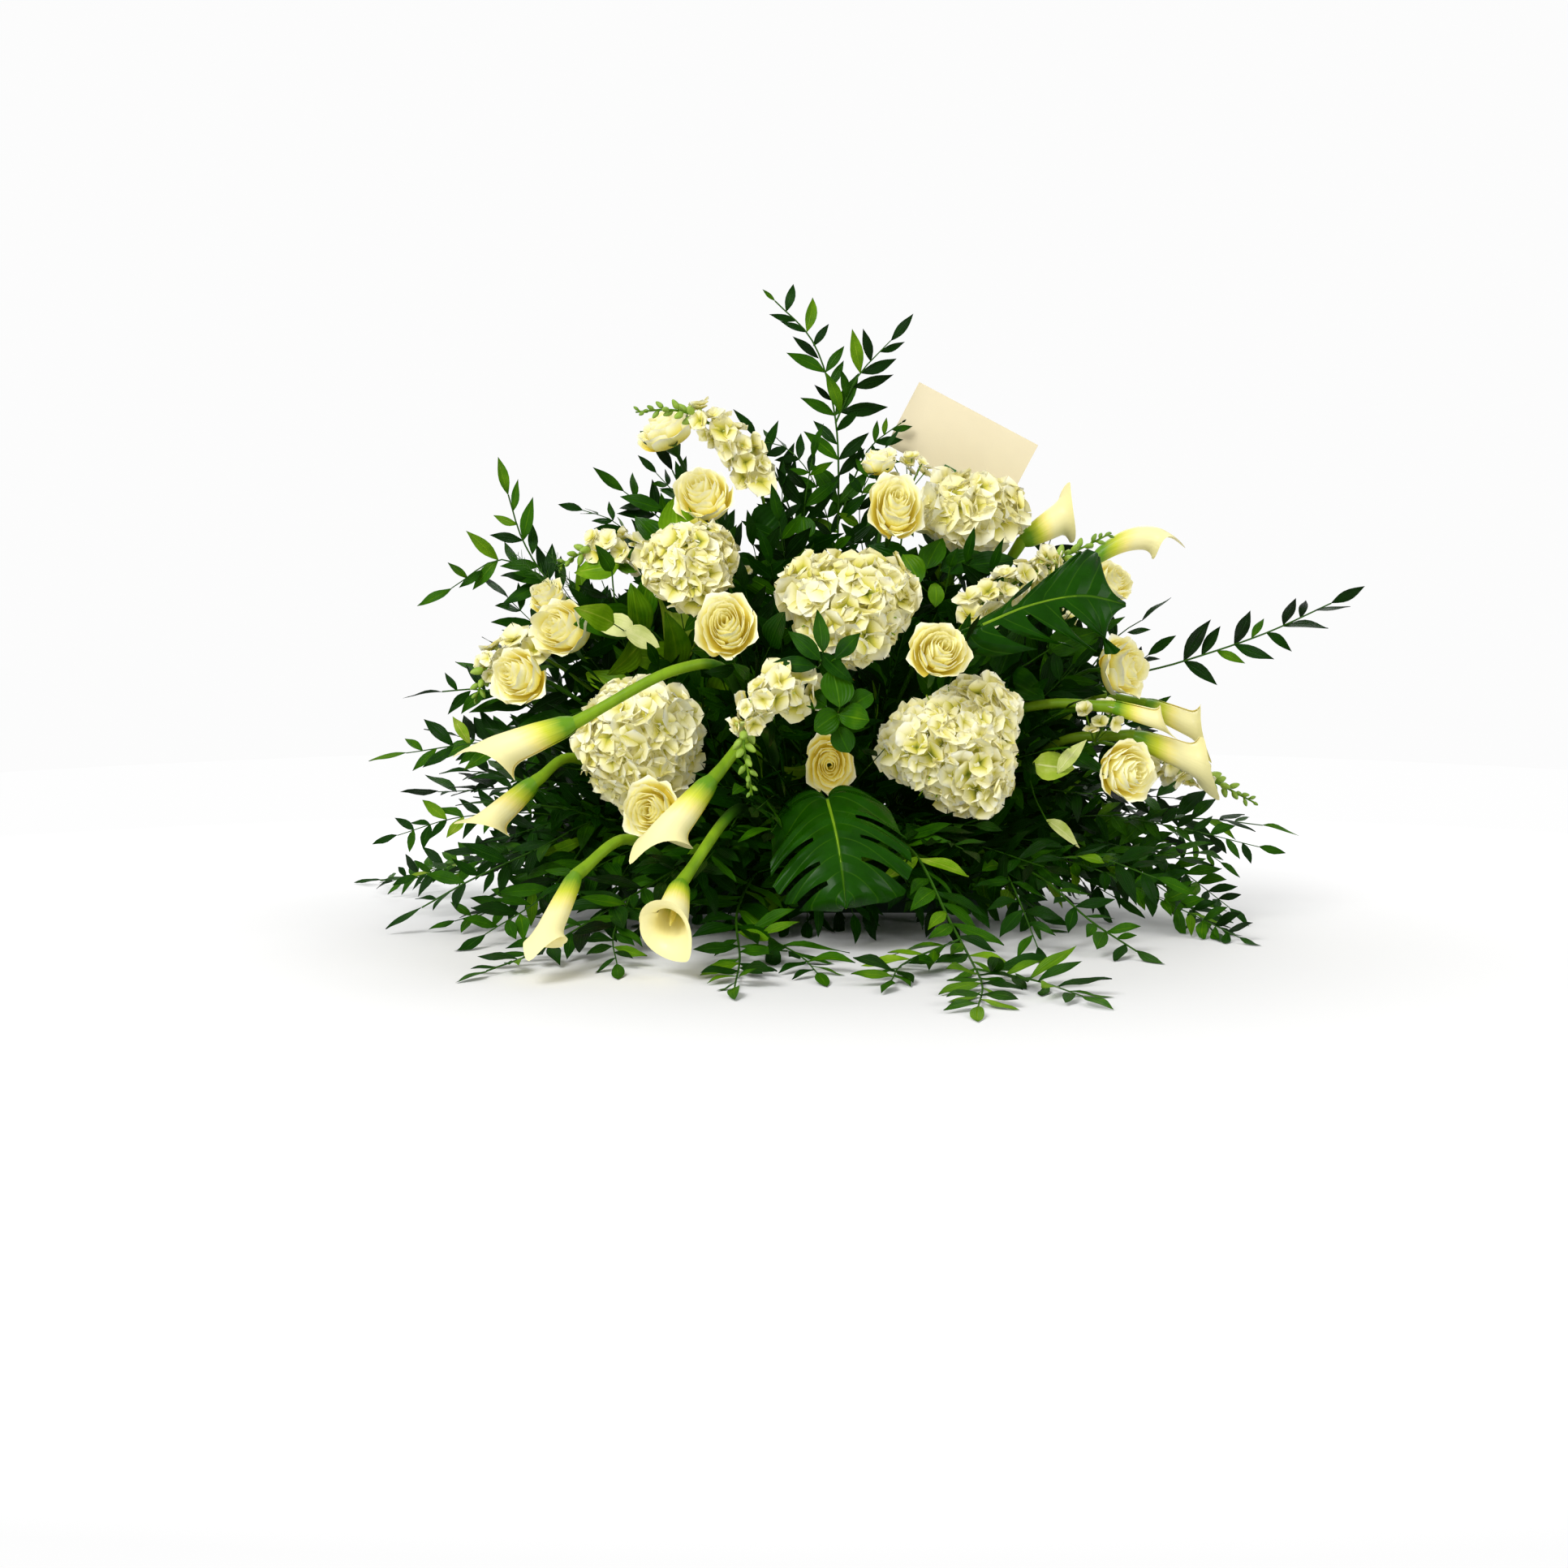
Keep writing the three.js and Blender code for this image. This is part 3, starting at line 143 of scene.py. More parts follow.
class Look:
    """A material: one Principled shader with constants on its sockets, and nodes that feed it"""

    def __init__(self, name, **constants):
        self.material = bpy.data.materials.new(name)
        self.material.use_nodes = True
        self.tree = self.material.node_tree
        self.shader = self.tree.nodes["Principled BSDF"]
        for key, value in constants.items():
            self.shader.inputs[key.replace("_", " ")].default_value = value

    def feed(self, socket, value):
        if isinstance(value, Socket):
            self.tree.links.new(value.link, socket)
        else:
            socket.default_value = value

    def node(self, kind, settings, inputs, output=0):
        node = self.tree.nodes.new(kind)
        for key, value in settings.items():
            if key == "stops":
                while len(node.color_ramp.elements) < len(value):
                    node.color_ramp.elements.new(0.5)
                for element, (place, *colour) in zip(node.color_ramp.elements, value):
                    element.position = place
                    element.color = rgb(*colour)
            else:
                setattr(node, key, value)
        for key, value in inputs.items():
            self.feed(node.inputs[key], value)
        return Socket(self, node.outputs[output])

    def maths(self, operation, *values):
        return self.node("ShaderNodeMath", {"operation": operation}, dict(enumerate(values)))

    def place(self):
        return self.node("ShaderNodeTexCoord", {}, {}, "Object")

    def flat(self):
        """The place on a flattened leaf or petal"""
        return self.node("ShaderNodeUVMap", {"uv_map": "sheet"}, {})

    def across(self):
        return self.node("ShaderNodeSeparateXYZ", {}, {0: self.flat()}, "X")

    def along(self):
        return self.node("ShaderNodeSeparateXYZ", {}, {0: self.flat()}, "Y")

    def tone(self):
        """The tone that the leaf, petal or stem was given"""
        return self.node("ShaderNodeAttribute", {"attribute_name": "tone"}, {}, "Fac")

    def noise(self, place, scale, detail=2.0, stretch=None):
        if stretch:
            place = self.node("ShaderNodeMapping", {}, {"Vector": place, "Scale": stretch})
        return self.node("ShaderNodeTexNoise", {}, {"Vector": place, "Scale": scale, "Detail": detail}, "Fac")

    def cells(self, scale):
        inputs = {"Vector": self.place(), "Scale": scale}
        return self.node("ShaderNodeTexVoronoi", {"feature": "F1"}, inputs, "Distance")

    def dress(self, colour, height=None, depth=0.001, rough=None, glow=0):
        """Feeds the shader. A faint painted glow stands in for the light that a thin petal, spathe or leaf
        lets through
        """
        self.feed(self.shader.inputs["Base Color"], colour)
        if glow:
            self.feed(self.shader.inputs["Emission Color"], colour)
            self.shader.inputs["Emission Strength"].default_value = glow
        if rough is not None:
            self.feed(self.shader.inputs["Roughness"], rough)
        if height is not None:
            bump = self.node("ShaderNodeBump", {}, {"Strength": 1.0, "Distance": depth, "Height": height})
            self.feed(self.shader.inputs["Normal"], bump)


bpy.ops.mesh.primitive_circle_add(vertices=96, radius=2.5, fill_type="NGON")
paper = bpy.context.object
paper.name = "paper_floor"
floor_look = Look("white_paper", Roughness=0.9, Specular_IOR_Level=0.1, Emission_Strength=1)
stretch = {"Vector": floor_look.place(), "Scale": (0.9, 1.2, 1), "Location": (0, 0.45, 0)}
spread = floor_look.node("ShaderNodeMapping", {}, stretch)
reach = floor_look.node("ShaderNodeVectorMath", {"operation": "LENGTH"}, {0: spread}, "Value")
# Near the spray the paper takes its shade, and far from it the paper glows as white as the tent
far = (reach * 0.7 - 0.22).clamped()
floor_look.dress(far.mix(FLOOR_WHITE, BLACK))
floor_look.feed(floor_look.shader.inputs["Emission Color"], (far * 1.35).clamped().mix(BLACK, TENT_WHITE))
paper.data.materials.append(floor_look.material)
bpy.ops.mesh.primitive_uv_sphere_add(segments=48, ring_count=24, radius=12)
tent = bpy.context.object
tent.name = "white_tent"
tent_look = Look("tent_cloth", Base_Color=BLACK, Specular_IOR_Level=0, Emission_Color=TENT_WHITE,
                 Emission_Strength=1)
tent.data.materials.append(tent_look.material)
tent.visible_diffuse = False
tent.visible_glossy = False
tent.visible_transmission = False
tent.visible_shadow = False
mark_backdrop(paper, tent)

# Card
# A blank cream card of heavy paper, cut square, that stands tilted at the top right. Its CAD node
# is kept, and its paper has a faint mottle and fine fibres.


def dress_node(name, look):
    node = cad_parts[name]
    for holder in node.material_slots:
        holder.material = look.material


paper_look = Look("card_paper", Roughness=0.82, Specular_IOR_Level=0.25)
spot = paper_look.place()
mottle = paper_look.noise(spot, 9, 3)
fibres = paper_look.noise(spot, 700, 3, (1, 1, 2.5))
card_colour = (mottle * 1.6 - 0.3).clamped().mix(rgb(229, 216, 182), rgb(243, 231, 197))
paper_look.dress(card_colour, fibres, 0.00012)
dress_node("card", paper_look)

# Card pick
# The slotted green stick that holds the card, moulded in one piece. Its CAD node is kept, and the
# plastic is glossy with a faint flow pattern.
pick_look = Look("pick_plastic", Roughness=0.3, Coat_Weight=0.2)
spot = pick_look.place()
flow = pick_look.noise(spot, 60, 2, (1, 1, 0.2))
pick_look.dress(flow.mix(rgb(38, 92, 40), rgb(70, 128, 58)), pick_look.noise(spot, 400), 0.0001)
dress_node("card_pick", pick_look)

# Saddle tray
# A shallow dark green tray, vacuum-formed from sheet plastic, that saddles the casket lid and holds
# the foam. Its CAD node is kept, and the sheet has a fine orange-peel grain and dull scuffs.
tray_look = Look("tray_plastic", Specular_IOR_Level=0.35)
spot = tray_look.place()
peel = tray_look.noise(spot, 420, 2)
scuffs = tray_look.noise(spot, 22, 5, (1, 4, 1))
tray_look.dress(scuffs.mix(rgb(20, 48, 28), rgb(42, 78, 50)), peel, 0.0002, scuffs * 0.3 + 0.35)
dress_node("tray", tray_look)

# Wet foam
# A soaked block of floral foam that every stem is stuck into. Its CAD node is kept with its stem
# holes, and the foam is dark and open-celled, with crumbly pits.
foam_look = Look("foam_cells", Roughness=0.95, Specular_IOR_Level=0.15)
cells = foam_look.cells(420)
pits = foam_look.noise(foam_look.place(), 90, 4)
foam_colour = (cells * 0.9 + pits * 0.5).clamped().mix(rgb(22, 48, 30), rgb(66, 108, 74))
foam_look.dress(foam_colour, cells + pits * 2, 0.0006)
dress_node("foam", foam_look)

# Roses
# Fifteen garden roses, each a spiral of ruffled cream petals in a green calyx with five sepals, on a
# smooth green stem. Petals are thin closed sheets that are pressed from one blank.
ROSES = [
    dict(at=(-0.189, -0.015, 0.582), wide=0.084, face=(-0.42, -0.3, 0.86), sepals=True, tall=0.6),
    dict(at=(-0.139, -0.105, 0.499), wide=0.08, face=(-0.2, -0.85, 0.45), lean=(-0.22, 0.24)),
    dict(at=(-0.109, -0.238, 0.348), wide=0.086, face=(-0.1, -0.95, 0.25), lean=(0.02, 0.12),
         oval=(0.9, 1.06)),
    dict(at=(-0.308, -0.118, 0.343), wide=0.084, face=(-0.55, -0.78, 0.25), oval=(1.1, 0.94)),
    dict(at=(-0.33, -0.05, 0.382), wide=0.054, face=(-0.35, -0.6, 0.7)),
    dict(at=(-0.352, -0.17, 0.287), wide=0.076, face=(-0.45, -0.85, 0.1), lean=(-0.16, 0.26)),
    dict(at=(0.126, -0.296, 0.322), wide=0.084, face=(0.08, -0.95, 0.28), lean=(0.14, 0.08),
         oval=(0.88, 0.88), via=[(0.115, -0.19, 0.318)]),
    dict(at=(0.086, -0.13, 0.485), wide=0.09, face=(0.05, -0.9, 0.4), lean=(0.06, 0.16), oval=(0.82, 1.02)),
    dict(at=(0.069, -0.05, 0.542), wide=0.046, face=(-0.1, -0.2, 0.97), sepals=True),
    dict(at=(0.358, -0.112, 0.296), wide=0.072, face=(0.65, -0.72, 0.1), sepals=True, oval=(0.96, 1.16)),
    dict(at=(0.351, -0.205, 0.181), wide=0.08, face=(0.45, -0.85, 0.02)),
    dict(at=(-0.19, -0.3, 0.146), wide=0.07, face=(-0.25, -0.92, 0.1), oval=(1.1, 1.14)),
    dict(at=(0.008, -0.215, 0.19), wide=0.062, face=(0, -0.97, -0.1), dull=0.3, oval=(1, 1.32)),
    dict(at=(0.356, -0.02, 0.398), wide=0.062, face=(0.5, -0.7, 0.45)),
    dict(at=(-0.12, 0.15, 0.4), wide=0.08, face=(-0.2, 0.8, 0.55)),
]
ROSE_PETALS = 28
ROSE_HEIGHT = 0.8
ROSE_STEM = 0.0032
PETAL_THICK = 0.0006
GOLDEN_ANGLE = 2.39996
SMOOTH_ANGLE = math.radians(70)
# The foam block, the depth of its stem holes, two distances that a stem runs straight on, and the
# height at which small stems that have no hole end inside the foam
FOAM_HALF = (0.19, 0.069)
FOAM_BASE = 0.0033
FOAM_TOP = 0.1133
STEM_DEPTH = 0.0247
EXIT = 0.004
LEAD = 0.028
FOOT_HEIGHT = FOAM_TOP - 0.01


def unit(ways):
    ways = np.asarray(ways, float)
    return ways / np.maximum(np.linalg.norm(ways, axis=-1, keepdims=True), 1e-12)


def sway(seed):
    """A repeatable number between -1 and 1"""
    value = math.sin(seed * 12.9898) * 43758.5453
    return 2 * (value - math.floor(value)) - 1


def standing(axis):
    """Columns: level across, up along the face, and the way that a bloom faces"""
    axis = unit(axis)
    up = np.array((0, 1, 0) if abs(axis[2]) > 0.95 else (0, 0, 1), float)
    across = unit(np.cross(up, axis))
    return np.column_stack([across, np.cross(axis, across), axis])


class Line:
    """A smooth line through points, measured by shares of its length"""

    def __init__(self, points):
        self.points = np.array(points, float)
        self.shares = np.linspace(0, 1, 201)
        steps = np.diff([self.at(share) for share in self.shares], axis=0)
        self.lengths = np.concatenate([[0], np.cumsum(np.linalg.norm(steps, axis=1))])
        self.length = self.lengths[-1]

    def at(self, share):
        last = len(self.points) - 1
        k = min(int(share * last), last - 1)
        t = share * last - k
        b, c = self.points[k], self.points[k + 1]
        a = self.points[k - 1] if k > 0 else 2 * b - c
        d = self.points[k + 2] if k + 2 <= last else 2 * c - b
        ab, bc, cd = (np.linalg.norm(step) ** 0.5 for step in (b - a, c - b, d - c))
        leave = ((b - a) / ab - (c - a) / (ab + bc) + (c - b) / bc) * bc
        reach = ((c - b) / bc - (d - b) / (bc + cd) + (d - c) / cd) * bc
        return b + t * (leave + t * (3 * (c - b) - 2 * leave - reach + t * (2 * (b - c) + leave + reach)))

    def along(self, share):
        return self.at(np.interp(share * self.length, self.lengths, self.shares))

    def spots(self, count, start=0):
        return np.array([self.along(share) for share in np.linspace(start, 1, count)])

    def way(self, share):
        return unit(self.along(min(1, share + 0.01)) - self.along(max(0, share - 0.01)))


def corners_of(name):
    """Where the corners of a CAD node lie"""
    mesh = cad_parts[name].data
    flat = np.empty(len(mesh.vertices) * 3, np.float32)
    mesh.vertices.foreach_get("co", flat)
    return np.unique(flat.reshape(-1, 3).round(6), axis=0)


def hole_of(name):
    """Bottom of the foam hole that a node's stem stands in, and two points that lead the stem out"""
    spots = corners_of(name)
    inside = (np.abs(spots[:, 0]) < FOAM_HALF[0]) & (np.abs(spots[:, 1]) < FOAM_HALF[1])
    inside &= (spots[:, 2] > FOAM_BASE) & (spots[:, 2] < FOAM_TOP)
    bottom = spots[inside].mean(axis=0)
    walls = [
        (FOAM_TOP - bottom[2], (0, 0, 1)),
        (FOAM_HALF[0] - abs(bottom[0]), (np.sign(bottom[0]), 0, 0)),
        (FOAM_HALF[1] - abs(bottom[1]), (0, np.sign(bottom[1]), 0)),
    ]
    out = np.array(min(walls, key=lambda wall: abs(wall[0] - STEM_DEPTH))[1], float)
    return bottom, [bottom + out * (STEM_DEPTH + step) for step in (EXIT, LEAD)]


def stem_spots(name, points, step, least=8):
    """Spots about a step apart from the bottom of a node's hole through the points, and their line"""
    bottom, start = hole_of(name)
    line = Line([*start, *points])
    return np.concatenate([[bottom], line.spots(max(least, int(line.length / step)))]), line


class Blank:
    """A closed flat sheet of two faces that share their border, to be pressed into leaves"""

    # How far apart the faces are while their borders are closed up. Pressing flattens it away
    GAP = 0.004

    def __init__(self, across, along, cut=None):
        bpy.ops.mesh.primitive_grid_add(x_subdivisions=across, y_subdivisions=along, size=1)
        blank = bpy.context.object
        if cut:
            bpy.ops.object.mode_set(mode="EDIT")
            bpy.ops.mesh.select_mode(type="FACE")
            bpy.ops.object.mode_set(mode="OBJECT")
            for face in blank.data.polygons:
                face.select = cut(face.center.x + 0.5, face.center.y + 0.5)
            bpy.ops.object.mode_set(mode="EDIT")
            bpy.ops.mesh.delete(type="FACE")
            bpy.ops.object.mode_set(mode="OBJECT")
        bpy.ops.object.mode_set(mode="EDIT")
        bpy.ops.mesh.select_mode(type="VERT")
        bpy.ops.mesh.select_all(action="SELECT")
        bpy.ops.mesh.extrude_region_move(TRANSFORM_OT_translate={"value": (0, 0, self.GAP)})
        bpy.ops.mesh.select_all(action="DESELECT")
        bpy.ops.object.mode_set(mode="OBJECT")
        # The walls between the two faces are selected and closed up into one border
        mesh = blank.data
        for face in mesh.polygons:
            if abs(face.normal.z) < 0.5:
                for corner in face.vertices:
                    mesh.vertices[corner].select = True
        bpy.ops.object.mode_set(mode="EDIT")
        bpy.ops.mesh.remove_doubles(threshold=1.5 * self.GAP)
        bpy.ops.mesh.select_all(action="SELECT")
        bpy.ops.mesh.normals_make_consistent(inside=False)
        bpy.ops.object.mode_set(mode="OBJECT")
        spots = np.array([vertex.co for vertex in mesh.vertices])
        self.size = len(spots)
        self.uv = spots[:, :2] + 0.5
        self.across = 2 * self.uv[:, 0] - 1
        self.along = self.uv[:, 1]
        self.rim = np.abs(spots[:, 2] - self.GAP / 2) < self.GAP / 4
        self.faces = np.array([face.vertices[:] for face in mesh.polygons])
        self.meets = np.zeros((self.size, len(self.faces)), np.float32)
        for index, face in enumerate(self.faces):
            self.meets[face, index] = 1
        bpy.data.objects.remove(blank)

    def swell(self, points, thick):
        """Moves each side of the sheets out by half their thickness, and leaves their rims"""
        slant = points[:, self.faces[:, 2]] - points[:, self.faces[:, 0]]
        cross = points[:, self.faces[:, 3]] - points[:, self.faces[:, 1]]
        normals = np.einsum("vf,nfk->nvk", self.meets, np.cross(slant, cross))
        lift = unit(normals) * (thick / 2)
        lift[:, self.rim] = 0
        return points + lift


class Cluster:
    """Sheets and stems that are gathered into one piece"""

    def __init__(self):
        self.points = []
        self.faces = []
        self.uvs = []
        self.tones = []
        self.finishes = []
        self.count = 0

    def gather(self, points, faces, uvs, tones, finish):
        """Adds corners and the groups of faces between them. A finish is a place in the list of looks"""
        self.points.append(points)
        self.uvs.append(uvs)
        self.tones.append(np.broadcast_to(tones, len(points)))
        for group in faces:
            self.faces.append(group + self.count)
            self.finishes.append(np.full(len(group), finish))
        self.count += len(points)

    def sheets(self, blank, points, thick, tones, finish=0):
        count = len(points)
        starts = np.arange(count)[:, None, None] * blank.size
        faces = (blank.faces[None] + starts).reshape(-1, blank.faces.shape[1])
        tones = np.broadcast_to(np.reshape(tones, (-1, 1)), (count, blank.size)).ravel()
        points = blank.swell(points, thick).reshape(-1, 3)
        self.gather(points, [faces], np.tile(blank.uv, (count, 1)), tones, finish)

    def tube(self, centres, radii, sides, tone, finish):
        """A round stem through centres, with flat ends"""
        centres = np.asarray(centres, float)
        radii = np.broadcast_to(radii, len(centres))
        ways = unit(np.gradient(centres, axis=0))
        # Any way will do to start from, if no stem runs along it
        side = np.array((0.31, 0.17, 0.93))
        angles = np.arange(sides) * 2 * math.pi / sides
        rings = []
        for centre, radius, way in zip(centres, radii, ways):
            side = unit(side - way * side.dot(way))
            turn = np.outer(np.cos(angles), side) + np.outer(np.sin(angles), np.cross(way, side))
            rings.append(centre + radius * turn)
        ids = np.arange(len(centres) * sides).reshape(-1, sides)
        low, high = ids[:-1], ids[1:]
        walls = np.stack([low, np.roll(low, -1, 1), np.roll(high, -1, 1), high], -1).reshape(-1, 4)
        caps = np.stack([ids[0, ::-1], ids[-1]])
        uvs = np.stack([np.tile(angles / (2 * math.pi), len(centres)),
                        np.repeat(np.linspace(0, 1, len(centres)), sides)], -1)
        tones = np.repeat(np.broadcast_to(tone, len(centres)), sides)
        self.gather(np.concatenate(rings), [walls, caps], uvs, tones, finish)

    def piece(self, name, looks, slot, *nodes):
        """Makes one object of it all, which stands in for the CAD nodes that are named"""
        points = np.concatenate(self.points)
        corners = np.concatenate([group.ravel() for group in self.faces])
        widths = np.concatenate([np.full(len(group), group.shape[1]) for group in self.faces])
        mesh = bpy.data.meshes.new(name)
        mesh.vertices.add(len(points))
        mesh.vertices.foreach_set("co", points.ravel())
        mesh.loops.add(len(corners))
        mesh.loops.foreach_set("vertex_index", corners)
        mesh.polygons.add(len(widths))
        mesh.polygons.foreach_set("loop_start", np.cumsum(widths) - widths)
        mesh.polygons.foreach_set("material_index", np.concatenate(self.finishes))
        mesh.uv_layers.new(name="sheet").data.foreach_set("uv", np.concatenate(self.uvs)[corners].ravel())
        mesh.attributes.new("tone", "FLOAT", "POINT").data.foreach_set("value", np.concatenate(self.tones))
        mesh.update(calc_edges=True)
        for look in looks:
            mesh.materials.append(look.material)
        piece = bpy.data.objects.new(name, mesh)
        bpy.context.collection.objects.link(piece)
        bpy.context.view_layer.objects.active = piece
        piece.select_set(True)
        bpy.ops.object.shade_smooth_by_angle(angle=SMOOTH_ANGLE)
        piece.select_set(False)
        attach(piece, "root")
        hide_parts(*nodes)


petal_look = Look("rose_petal", Specular_IOR_Level=0.2)
veins = petal_look.noise(petal_look.flat(), 9, 3, (6, 0.6, 1))
# Each petal is painted a deeper yellow towards its base, which is painted shade in the heart of the rose; the
# inner petals are also a deeper yellow of their own
tint_and_shade = (petal_look.tone() * 0.28 + (1 - petal_look.along()) * 1.5 + veins * 0.12 - 0.2).clamped()
petal_colour = tint_and_shade.ramp((0, 254, 251, 220), (0.3, 250, 243, 168), (0.62, 242, 228, 104), (1, 214, 192, 40))
petal_look.dress(petal_colour, veins, 0.0003, 0.5 + veins * 0.15, 0.1)

stem_look = Look("flower_stem", Specular_IOR_Level=0.2)
streaks = stem_look.noise(stem_look.place(), 60, 3, (1, 1, 0.15))
fresh = (stem_look.tone() + streaks * 0.3 - 0.15).clamped()
stem_colour = fresh.ramp((0, 16, 44, 6), (0.5, 56, 104, 6), (1, 160, 196, 30))
stem_look.dress(stem_colour, streaks, 0.0003, 0.35 + streaks * 0.2)

PETAL = Blank(8, 8)
SEPAL = Blank(2, 6)


def rose_petals(rose, seed):
    """Places of the petals of a rose, from the innermost out, their tones, its base and its axis"""
    draw = np.random.default_rng(seed)
    radius, height = rose["wide"] / 2, rose["wide"] * rose.get("tall", ROSE_HEIGHT)
    order = np.arange(ROSE_PETALS)[:, None]
    q = (order + 0.5) / ROSE_PETALS
    t, s = PETAL.across[None], PETAL.along[None]
    s = s * (1 - 0.2 * np.abs(t) ** 1.7)
    low = 0.1 * radius, 0.05 * height
    belly = radius * (0.14 + 0.94 * q ** 0.75), height * (0.3 - 0.2 * q)
    lift = 1 + (0.04 + 0.06 * q) * draw.standard_normal(q.shape)
    rim = radius * (0.78 * q ** 1.05), height * lift * (1 - 0.14 * (1 - q) ** 4 - 0.34 * q ** 1.7)
    away, rise = ((1 - s) ** 2 * a + 2 * s * (1 - s) * b + s ** 2 * c for a, b, c in zip(low, belly, rim))
    curl = np.clip((s - 0.62) / 0.38, 0, 1) ** 2 * (0.25 + 0.75 * q) * (1 + 0.35 * np.cos(2.4 * t))
    phase = draw.uniform(0, 2 * math.pi, q.shape)
    ruffle = s ** 4 * np.sin((3.2 + 1.4 * q) * t * math.pi / 2 + phase)
    away = away * (1 + 0.13 * t * (1 - 0.5 * q)) + radius * (0.2 * curl + 0.045 * (0.3 + q) * ruffle)
    rise = rise - height * 0.16 * curl + height * 0.035 * s ** 4 * np.cos(4.6 * t + phase)
    shape = 0.4 + 0.6 * np.sin(np.minimum(1, s / 0.6) * math.pi / 2)
    half = radius * (0.34 + 0.36 * q) * shape
    turn = order * GOLDEN_ANGLE + draw.uniform(-0.15, 0.15, q.shape)
    angle = turn + t * np.minimum(1.7, half / np.maximum(away, 0.13 * radius))
    local = np.stack([away * np.cos(angle), away * np.sin(angle), rise], -1)
    local[..., :2] += np.array(rose.get("lean", (0, 0.06))) * (radius * (1 - q) * s)[..., None]
    local[..., :2] *= rose.get("oval", (1, 1))
    axis = unit(rose["face"])
    base = np.array(rose["at"]) - axis * height / 2
    return base + local @ standing(axis).T, 1 - q[:, 0] ** 0.8 + rose.get("dull", 0), base, axis


def sepals(base, axis, radius, seed, droop):
    """The five green leaves under a rose, which droop, or hold it where the droop is below 0"""
    draw = np.random.default_rng(seed)
    turn = np.arange(5)[:, None] * 2 * math.pi / 5 + draw.uniform(0, 1)
    t, s = SEPAL.across[None], SEPAL.along[None]
    reach = radius * (0.75 + 0.15 * draw.uniform(-1, 1, (5, 1)))
    bend = droop + 0.4 * draw.uniform(-1, 1, (5, 1))
    away = 0.16 * radius + reach * s * np.cos(bend * s)
    rise = 0.12 * radius - reach * s * np.sin(bend * s) + 0.25 * reach * s * (1 - s)
    wide = radius * (0.17 if droop > 0 else 0.3) * (1 - s) ** 0.7 * (1 + 0.2 * np.sin(9 * s)) * t
    local = np.stack([away * np.cos(turn) - wide * np.sin(turn), away * np.sin(turn) + wide * np.cos(turn),
                      rise + np.abs(wide) * 0.4], -1)
    return base + local @ standing(axis).T


for index, rose in enumerate(ROSES):
    name = f"rose_{index + 1}"
    head = Cluster()
    petals, tones, base, axis = rose_petals(rose, index)
    head.sheets(PETAL, petals, PETAL_THICK, tones)
    radius = rose["wide"] / 2
    centres, _ = stem_spots(name, [*rose.get("via", []), base - axis * 0.034, base], 0.012)
    centres = np.concatenate([centres, [base + axis * 0.004, base + axis * 0.009]])
    # The stem swells into the calyx just under the petals
    left = np.linalg.norm(centres - (base + axis * 0.002), axis=1)
    radii = ROSE_STEM * 0.85 + radius * 0.2 * np.exp(-(left / 0.006) ** 2)
    head.tube(centres, radii, 8, 0.35 + 0.2 * sway(index), 1)
    cupped = rose.get("sepals", False)
    leaves = sepals(base, axis, radius * (1.15 if cupped else 1), index + 50, -0.5 if cupped else 0.9)
    head.sheets(SEPAL, leaves, PETAL_THICK, 0.2, 1)
    head.piece(f"{name}_bloom", [petal_look, stem_look], "petal", name)

# Hydrangeas
# Six mop-head blooms of four-petalled cream florets with folded, pointed petals, packed on lobed
# domes of pale green stalks that spring from one woody stem.
HYDRANGEAS = [
    dict(at=(-0.151, -0.172, 0.417), size=(0.112, 0.102, 0.088), face=(-0.15, -0.85, 0.45), petal=0.0145,
         notch=0.16, turn=0.9),
    dict(at=(0.03, -0.215, 0.372), size=(0.168, 0.144, 0.096), face=(0, -0.9, 0.42), petal=0.0185,
         notch=0.36, turn=0.55),
    dict(at=(0.182, -0.055, 0.479), size=(0.126, 0.092, 0.09), face=(0.15, -0.75, 0.6), petal=0.019,
         notch=0.12, turn=0, shade=0.55),
    dict(at=(-0.207, -0.232, 0.218), size=(0.145, 0.154, 0.09), face=(-0.25, -0.95, 0.1), petal=0.0158,
         notch=0.14, turn=0.6, shade=0.65),
    dict(at=(0.15, -0.232, 0.213), size=(0.182, 0.17, 0.1), face=(0.12, -0.98, 0.08), petal=0.0155,
         notch=0.4, turn=1.0, shade=0.85),
    dict(at=(0.01, 0.19, 0.3), size=(0.15, 0.13, 0.096), face=(0, 0.92, 0.35), petal=0.016,
         notch=0.15, turn=0),
]
HYDRANGEA_STEM = 0.0042
STALKS = 60
DOME_LOWEST = -0.6
FLORET_THICK = 0.0005
FLORET_STEPS = (0, 0.25, 0.5, 0.75, 1)
FLORET_WIDTHS = (0.16, 0.7, 0.98, 0.66, 0.05)

floret_look = Look("hydrangea_floret", Specular_IOR_Level=0.2)
veins = floret_look.noise(floret_look.flat(), 7, 2, (5, 0.8, 1))
# Each floret petal is painted darker and greener towards its base, as shade in the clefts between the florets
tint_and_shade = (floret_look.tone() * 0.55 + (1 - floret_look.along()) * 0.85 + veins * 0.12 - 0.16).clamped()
floret_colour = tint_and_shade.ramp((0, 254, 252, 228), (0.4, 248, 242, 186), (0.75, 208, 200, 76), (1, 104, 116, 6))
floret_look.dress(floret_colour, veins, 0.0003, 0.5 + veins * 0.15, 0.05)

FLORET = Blank(4, 4)


